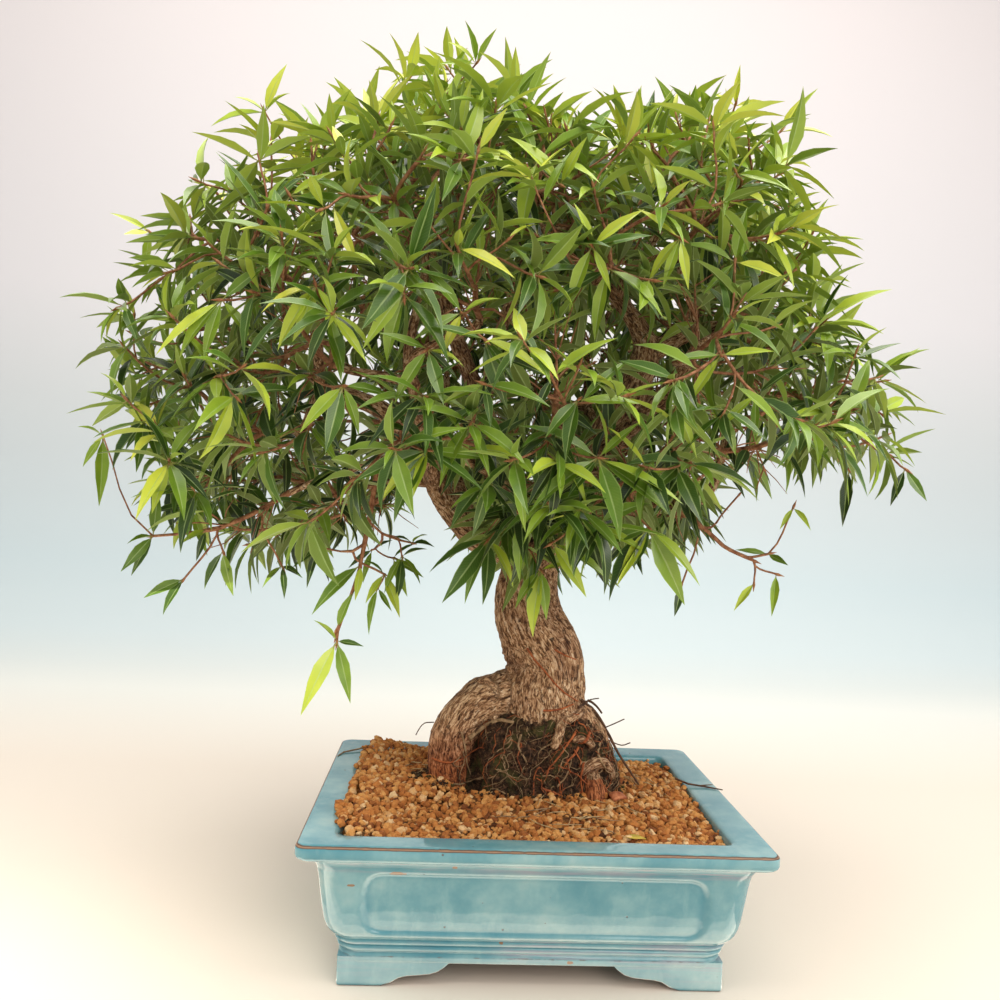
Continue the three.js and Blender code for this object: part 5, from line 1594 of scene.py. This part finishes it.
def grow_star(leaves, chance, path, young):
    """The end of a twig: alternate leaves on its last stretch and a star of leaves round its tip."""
    tip = path[-1]
    axis = unit(path[-1] - path[-2])
    phase = chance.uniform(0, 2 * math.pi)
    count = chance.choice((4, 5, 5, 6, 6, 7))
    vigour = chance.uniform(0.82, 1.12)
    for i in range(count):
        spread_out = math.radians(chance.uniform(45, 84))
        length = chance.uniform(38, 51) * vigour
        tone = leaf_tone(chance, tip[2], young * chance.uniform(0.5, 1.0))
        base = tip - axis * (count - i) * 1.1
        grow_leaf(leaves, chance, base, axis, phase + i * GOLDEN_ANGLE, spread_out, length, tone)
    # Often a new leaf points straight on.
    if chance.random() < 0.7:
        tone = leaf_tone(chance, tip[2], young + 0.14)
        spread_out = math.radians(chance.uniform(12, 38))
        grow_leaf(leaves, chance, tip, axis, phase + 1.2, spread_out, chance.uniform(20, 36), tone)
    length = sum(np.linalg.norm(b - a) for a, b in zip(path, path[1:]))
    distance = chance.uniform(9, 13)
    while distance < min(length - 6, 44):
        at, heading = along_path(path, length - distance)
        spread_out = math.radians(chance.uniform(50, 80))
        tone = leaf_tone(chance, at[2], young * 0.4)
        phase += GOLDEN_ANGLE
        grow_leaf(leaves, chance, at, heading, phase, spread_out, chance.uniform(34, 50), tone)
        distance += chance.uniform(9, 15)


def grow_seen_star(leaves, chance, star, tips):
    """A star whose leaves reach to where the view shows their tips, a little towards the viewer."""
    for u, v in tips:
        ray = view_ray(u, v)
        level = VIEW_PLACE + ray * ((star - VIEW_PLACE) @ ray)
        apart = np.linalg.norm(level - star)
        least = math.sqrt(max(SHORTEST_SEEN_LEAF ** 2 - apart ** 2, 0))
        forward = max(chance.uniform(0.05, 0.4) * apart, least)
        step = level - ray * forward - star
        tone = leaf_tone(chance, star[2], 0.08) if (u, v) not in YOUNG_TIPS else chance.uniform(0.66, 0.8)
        face = np.array([0, 0, 0.75]) - ray * 0.75
        add_leaf(leaves, chance, star, unit(step), face, np.linalg.norm(step), tone)


def along_path(path, distance):
    """The place and the direction this far along a path."""
    for a, b in zip(path, path[1:]):
        step = np.linalg.norm(b - a)
        if distance <= step:
            return a + (b - a) * distance / step, (b - a) / step
        distance -= step
    return path[-1], unit(path[-1] - path[-2])


def crown_face(u, v, depth):
    """The first place along the view's ray that lies this deep inside the crown."""
    ray = view_ray(u, v)
    best, best_gap = None, math.inf
    for distance in range(380, 1000, 4):
        p = VIEW_PLACE + ray * distance
        gap = max(np.linalg.norm(p - CROWN) + depth - reach(unit(p - CROWN)), 0.0)
        if gap < best_gap:
            best, best_gap = p, gap
    return best


def at_depth(u, v, y):
    """The place that the view shows at (u, v), this far back."""
    ray = view_ray(u, v)
    return VIEW_PLACE + ray * ((y - VIEW_PLACE[1]) / ray[1])


def has_room(target):
    """Whether a twig may end here: not below the crown's lower edge, in a gap, or over a star in front."""
    u, v = seen_at(target)
    if v > read_off(LOWER_EDGE, u):
        return False
    if target[1] < -10 and any(math.hypot(u - x, v - y) < radius for x, y, radius in CLEARINGS):
        return False
    return target[1] > -60 or all(math.hypot(u - star[0], v - star[1]) > STAR_ROOM for star in FRONT_STARS)


def share_stars(bases, chance):
    """Twig ends over the crown in three depths, each given to the nearest spray, as (place, leaf tips)."""
    shares = [[] for _ in bases]
    for u, v, y, tips in FRONT_STARS:
        star = crown_face(u, v, 46) if y is None else at_depth(u, v, y)
        gaps = [min(np.linalg.norm(p - star) for p in hanging) + 5 if hanging else np.linalg.norm(at - star)
                for at, _, hanging in bases]
        shares[int(np.argmin(gaps))].append((star, tips))
    for count, depth, turn in STAR_LAYERS:
        for i in range(count):
            d = spiral_direction(i, count, turn)
            d = unit(d + jitter(chance, 0.07))
            inset = depth * (0.93 + 0.26 * abs(d[2])) + chance.choice((-16, -6, -2, 0, 4, 8, 14, 20))
            target = CROWN + d * (reach(d) - inset)
            if (d[2] > -0.7 or d[1] < -0.25) and has_room(target):
                # Sprays that hang, or have many twigs already, are passed over.
                gaps = [np.linalg.norm(at - target) + (60 if hanging else 0) + 2.0 * len(share)
                        for (at, _, hanging), share in zip(bases, shares)]
                shares[int(np.argmin(gaps))].append((target, None))
    return shares


def depth_in(p):
    """How deep inside the crown's face a place is."""
    step = p - CROWN
    return reach(unit(step)) - np.linalg.norm(step)


class Twigs:
    """The twigs of one spray as they grow: joints, each with its place, direction, parent and load."""

    def __init__(self, at, out):
        self.places, self.headings, self.parents, self.loads, self.depths = [], [], [], [], []
        self.add(at - out * 4, out, -1)
        self.add(at + out * 10, out, 0)

    def add(self, place, heading, parent):
        self.places.append(place)
        self.headings.append(heading)
        self.parents.append(parent)
        self.loads.append(0)
        self.depths.append(depth_in(place))
        return len(self.places) - 1

    def best_joint(self, target, deep_enough):
        """The joint from which a twig runs best: short, with little turn, and from deep enough inside."""
        best, best_cost = 1, math.inf
        for k in range(1, len(self.places)):
            step = target - self.places[k]
            size = np.linalg.norm(step)
            turn = 1 - step @ self.headings[k] / max(size, 1e-6)
            cost = size * (1 + 0.45 * turn) + (60 if size < 14 else 0)
            cost += 1.6 * max(0.0, deep_enough - self.depths[k])
            if cost < best_cost:
                best, best_cost = k, cost
        return best

    def grow_to(self, target, hanging):
        """Grows a twig to its end and loads all the wood that bears it. Returns its joints and its path."""
        # A twig comes from further in, except on the long hanging ones.
        start = self.best_joint(target, -math.inf if hanging else depth_in(target) + 16)
        heading = unit(target - self.places[start])
        arrive = unit(heading + np.array([0, 0, 0.0 if hanging else 0.3]))
        leave = unit(self.headings[start] * 0.45 + heading * 0.55)
        path = bend(self.places[start], leave, target, arrive, 4)
        chain = [start]
        for a, b in zip(path, path[1:]):
            chain.append(self.add(b, unit(b - a), chain[-1]))
        joint = chain[-1]
        while joint >= 0:
            self.loads[joint] += 1
            joint = self.parents[joint]
        return chain, path

    def bud_at(self, joint):
        """A pointed bud at the end of a twig, as places with their radii."""
        tip, axis = self.places[joint], self.headings[joint]
        return [(*(tip - axis), 0.9), (*(tip + axis * 2), 1.3), (*(tip + axis * 5), 0.6),
                (*(tip + axis * 7.5), 0.15)]

    def bare_twig(self, chance, joint):
        """A short dead side twig inside the crown, where no light reaches."""
        side = scatter(chance, 1)
        heading = unit(self.headings[joint] * 1.2 + unit(side) * 0.9)
        length = chance.uniform(14, 42)
        middle = self.places[joint] + heading * length * 0.5
        heading = unit(heading + scatter(chance, 0.25))
        end = middle + heading * length * 0.5
        thick = chance.uniform(0.45, 0.85)
        return [(*self.places[joint], thick), (*middle, thick * 0.8), (*end, thick * 0.4)]


def grow_spray(base, targets, chance):
    """The twigs and leaves of one spray: (stick paths, leaves)."""
    at, out, hanging = base
    twigs = Twigs(at, out)
    end = twigs.places[1]
    targets = sorted(targets, key=lambda t: np.linalg.norm(t[0] - end))
    if hanging:
        close = [t for t in targets if t[1] or np.linalg.norm(t[0] - end) < 90]
        targets = [(p, []) for p in hanging[1:]] + close
    chains, leaves = [], []
    for target, tips in targets:
        chain, path = twigs.grow_to(target, hanging)
        chains.append(chain)
        if tips is None:
            young = 0.3 if chance.random() < 0.07 + 0.5 * blend_in(target[2], 540, 700) else 0.0
            grow_star(leaves, chance, path, young)
        else:
            grow_seen_star(leaves, chance, target, tips)
    paths = [([(*twigs.places[0], 2.7), (*end, 2.4)], 0)]
    for chain in chains:
        # A side twig is no thicker where it leaves its parent than further out.
        loads = [twigs.loads[chain[1]]] + [twigs.loads[k] for k in chain[1:]]
        stops = [(*twigs.places[k], min(TWIG_WIDEST, 0.82 * load ** 0.42)) for k, load in zip(chain, loads)]
        paths += [(stops, 0), (twigs.bud_at(chain[-1]), 1)]
    for _ in range(len(twigs.places)):
        joint = chance.randrange(len(twigs.places))
        if twigs.depths[joint] > 75:
            paths.append((twigs.bare_twig(chance, joint), 0))
    return paths, leaves


def make_crown(bases):
    """Every spray: one piece of twigs and one of leaves, each for the spray's own node."""
    shapes = copies_of([leaf_shape(*kind) for kind in LEAF_KINDS])
    shares = share_stars(bases, random.Random(5))
    for number, (base, targets) in enumerate(zip(bases, shares), 1):
        paths, leaves = grow_spray(base, targets, random.Random(900 + number))
        node = f"spray_{number:02d}"
        make_sticks(paths, f"twigs_{number:02d}", [TWIG_BARK, BUD_SCALES], [node])
        bm = bmesh.new()
        bm.faces.layers.float.new("tone")
        bm.faces.layers.float.new("under")
        bm.loops.layers.uv.new("leaf")
        for kind, at, along, up, length, width, tone in leaves:
            add_copy(bm, shapes[kind], leaf_matrix(at, along, up, length, width), tone=tone)
        make_piece(bm, f"leaves_{number:02d}", [LEAF], [node])


# The set, in metres

SWEEP_HALF_WIDTH = 3.2
SWEEP_BEND_START = 1.1
SWEEP_BEND = 0.45
# The floor's front edge, and the top of the wall behind.
SWEEP_FRONT = (-3.0, 0)
SWEEP_TOP = (1.55, 3.4)

# Soft lamps: name, place, target, size, power and tint. The low fills over the table keep the pot's own
# shadow faint.
LAMPS = [
    ("top_light", (0.0, -0.2, 2.3), (0, 0, 0.4), (2.4, 2.0), 57, "#fffaf2"),
    ("front_light", (1.1, -2.3, 1.5), (0, 0, 0.35), (1.6, 1.6), 31, "#fff8ee"),
    ("side_light", (2.1, -0.9, 1.3), (0, 0, 0.35), (1.2, 1.4), 9, "#f7f9ff"),
    ("left_fill", (-0.40, -0.22, 0.26), (-0.36, -0.22, 0), (0.42, 0.5), 1.15, "#fff6ea"),
    ("right_fill", (0.36, -0.22, 0.26), (0.324, -0.22, 0), (0.42, 0.5), 0.45, "#fff6ea"),
]
# White card on the table at the pot's foot, seen only as the broad reflection in the glaze: name, place,
# size and brightness.
CARDS = [
    ("front_card", (0, -0.153, 0.002), (0.5, 0.064), 6),
    ("front_card_far", (0, -0.163, 0.003), (0.5, 0.084), 6),
    ("back_card", (0, 0.158, 0.002), (0.5, 0.074), 11),
    ("left_card", (-0.176, 0, 0.002), (0.057, 0.24), 3),
    ("right_card", (0.176, 0, 0.002), (0.057, 0.24), 3),
]


def make_stage():
    """A pale sweep behind and a pale floor, apart from the object."""
    path = [SWEEP_FRONT, (SWEEP_BEND_START, 0)]
    for degrees in (15, 30, 45, 60, 75, 90):
        turn = math.radians(degrees)
        path.append((SWEEP_BEND_START + SWEEP_BEND * math.sin(turn), SWEEP_BEND * (1 - math.cos(turn))))
    path += [(SWEEP_TOP[0], 1.2), SWEEP_TOP]
    bm = bmesh.new()
    line = [bm.verts.new((-SWEEP_HALF_WIDTH, y, z)) for y, z in path]
    edges = [bm.edges.new((a, b)) for a, b in zip(line, line[1:])]
    made = bmesh.ops.extrude_edge_only(bm, edges=edges)["geom"]
    bmesh.ops.translate(bm, vec=(2 * SWEEP_HALF_WIDTH, 0, 0), verts=verts_of(made))
    bmesh.ops.recalc_face_normals(bm, faces=bm.faces)
    mesh = as_mesh(bm, "sweep")
    mesh.polygons.foreach_set("use_smooth", [True] * len(mesh.polygons))
    mesh.materials.append(sweep_paper())
    new_object("sweep", mesh)


def soft_light(name, place, target, size, power, tint):
    """A rectangular lamp, aimed at its target and not seen by the camera."""
    light = bpy.data.lights.new(name, "AREA")
    light.shape = "RECTANGLE"
    light.size, light.size_y = size
    light.energy = power
    light.color = colour(tint)[:3]
    holder = new_object(name, light)
    holder.location = place
    holder.rotation_euler = (Vector(target) - Vector(place)).to_track_quat("-Z", "Y").to_euler()
    holder.visible_camera = False
    return holder


def light_set():
    """The lamps, the bright cards that only the glaze reflects, and the room's dim light."""
    for lamp in LAMPS:
        holder = soft_light(*lamp)
        holder.visible_glossy = not lamp[0].endswith("fill")
    for name, place, size, brightness in CARDS:
        straight_up = (place[0], place[1], 1)
        card = soft_light(name, place, straight_up, size, brightness * size[0] * size[1], "#fff1da")
        card.visible_diffuse = False
    world = bpy.data.worlds.new("studio")
    world.use_nodes = True
    background = world.node_tree.nodes["Background"]
    background.inputs["Color"].default_value = colour("#f3f1f4")
    background.inputs["Strength"].default_value = 0.42
    bpy.context.scene.world = world
    bpy.context.scene.view_settings.view_transform = "Standard"


def make_camera():
    """The photograph's viewpoint: level with the middle of the tree, a little left of the pot."""
    right, up, ahead = view_axes()
    camera = bpy.data.cameras.new("camera")
    camera.sensor_width = 36
    camera.lens = camera.sensor_width * VIEW_FOCAL / VIEW_WIDTH
    camera.clip_start = 0.02
    holder = new_object("camera", camera)
    place = TO_PART @ Vector(VIEW_PLACE)
    holder.matrix_world = Matrix((*((right[i], up[i], -ahead[i], place[i]) for i in range(3)), (0, 0, 0, 1)))
    bpy.context.scene.camera = holder


def paint_nodes():
    """Gives the CAD pieces that stay in view their finishes."""
    for name, material in (("soil", PACKED), ("drain_mesh_left", SCREEN), ("drain_mesh_right", SCREEN)):
        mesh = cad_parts[name].data
        mesh.materials.clear()
        mesh.materials.append(material)


make_camera()
make_stage()
light_set()
paint_nodes()
make_pot()
make_granules()
make_straw()
make_bark_chip()
make_fallen_leaf()
root_ball = make_root_ball()
make_crumbs(root_ball)
spray_places = spray_bases()
wood = make_trunk(grow_branches(spray_places))
make_rootlets(skin_of([root_ball, wood]))
make_crown(spray_places)
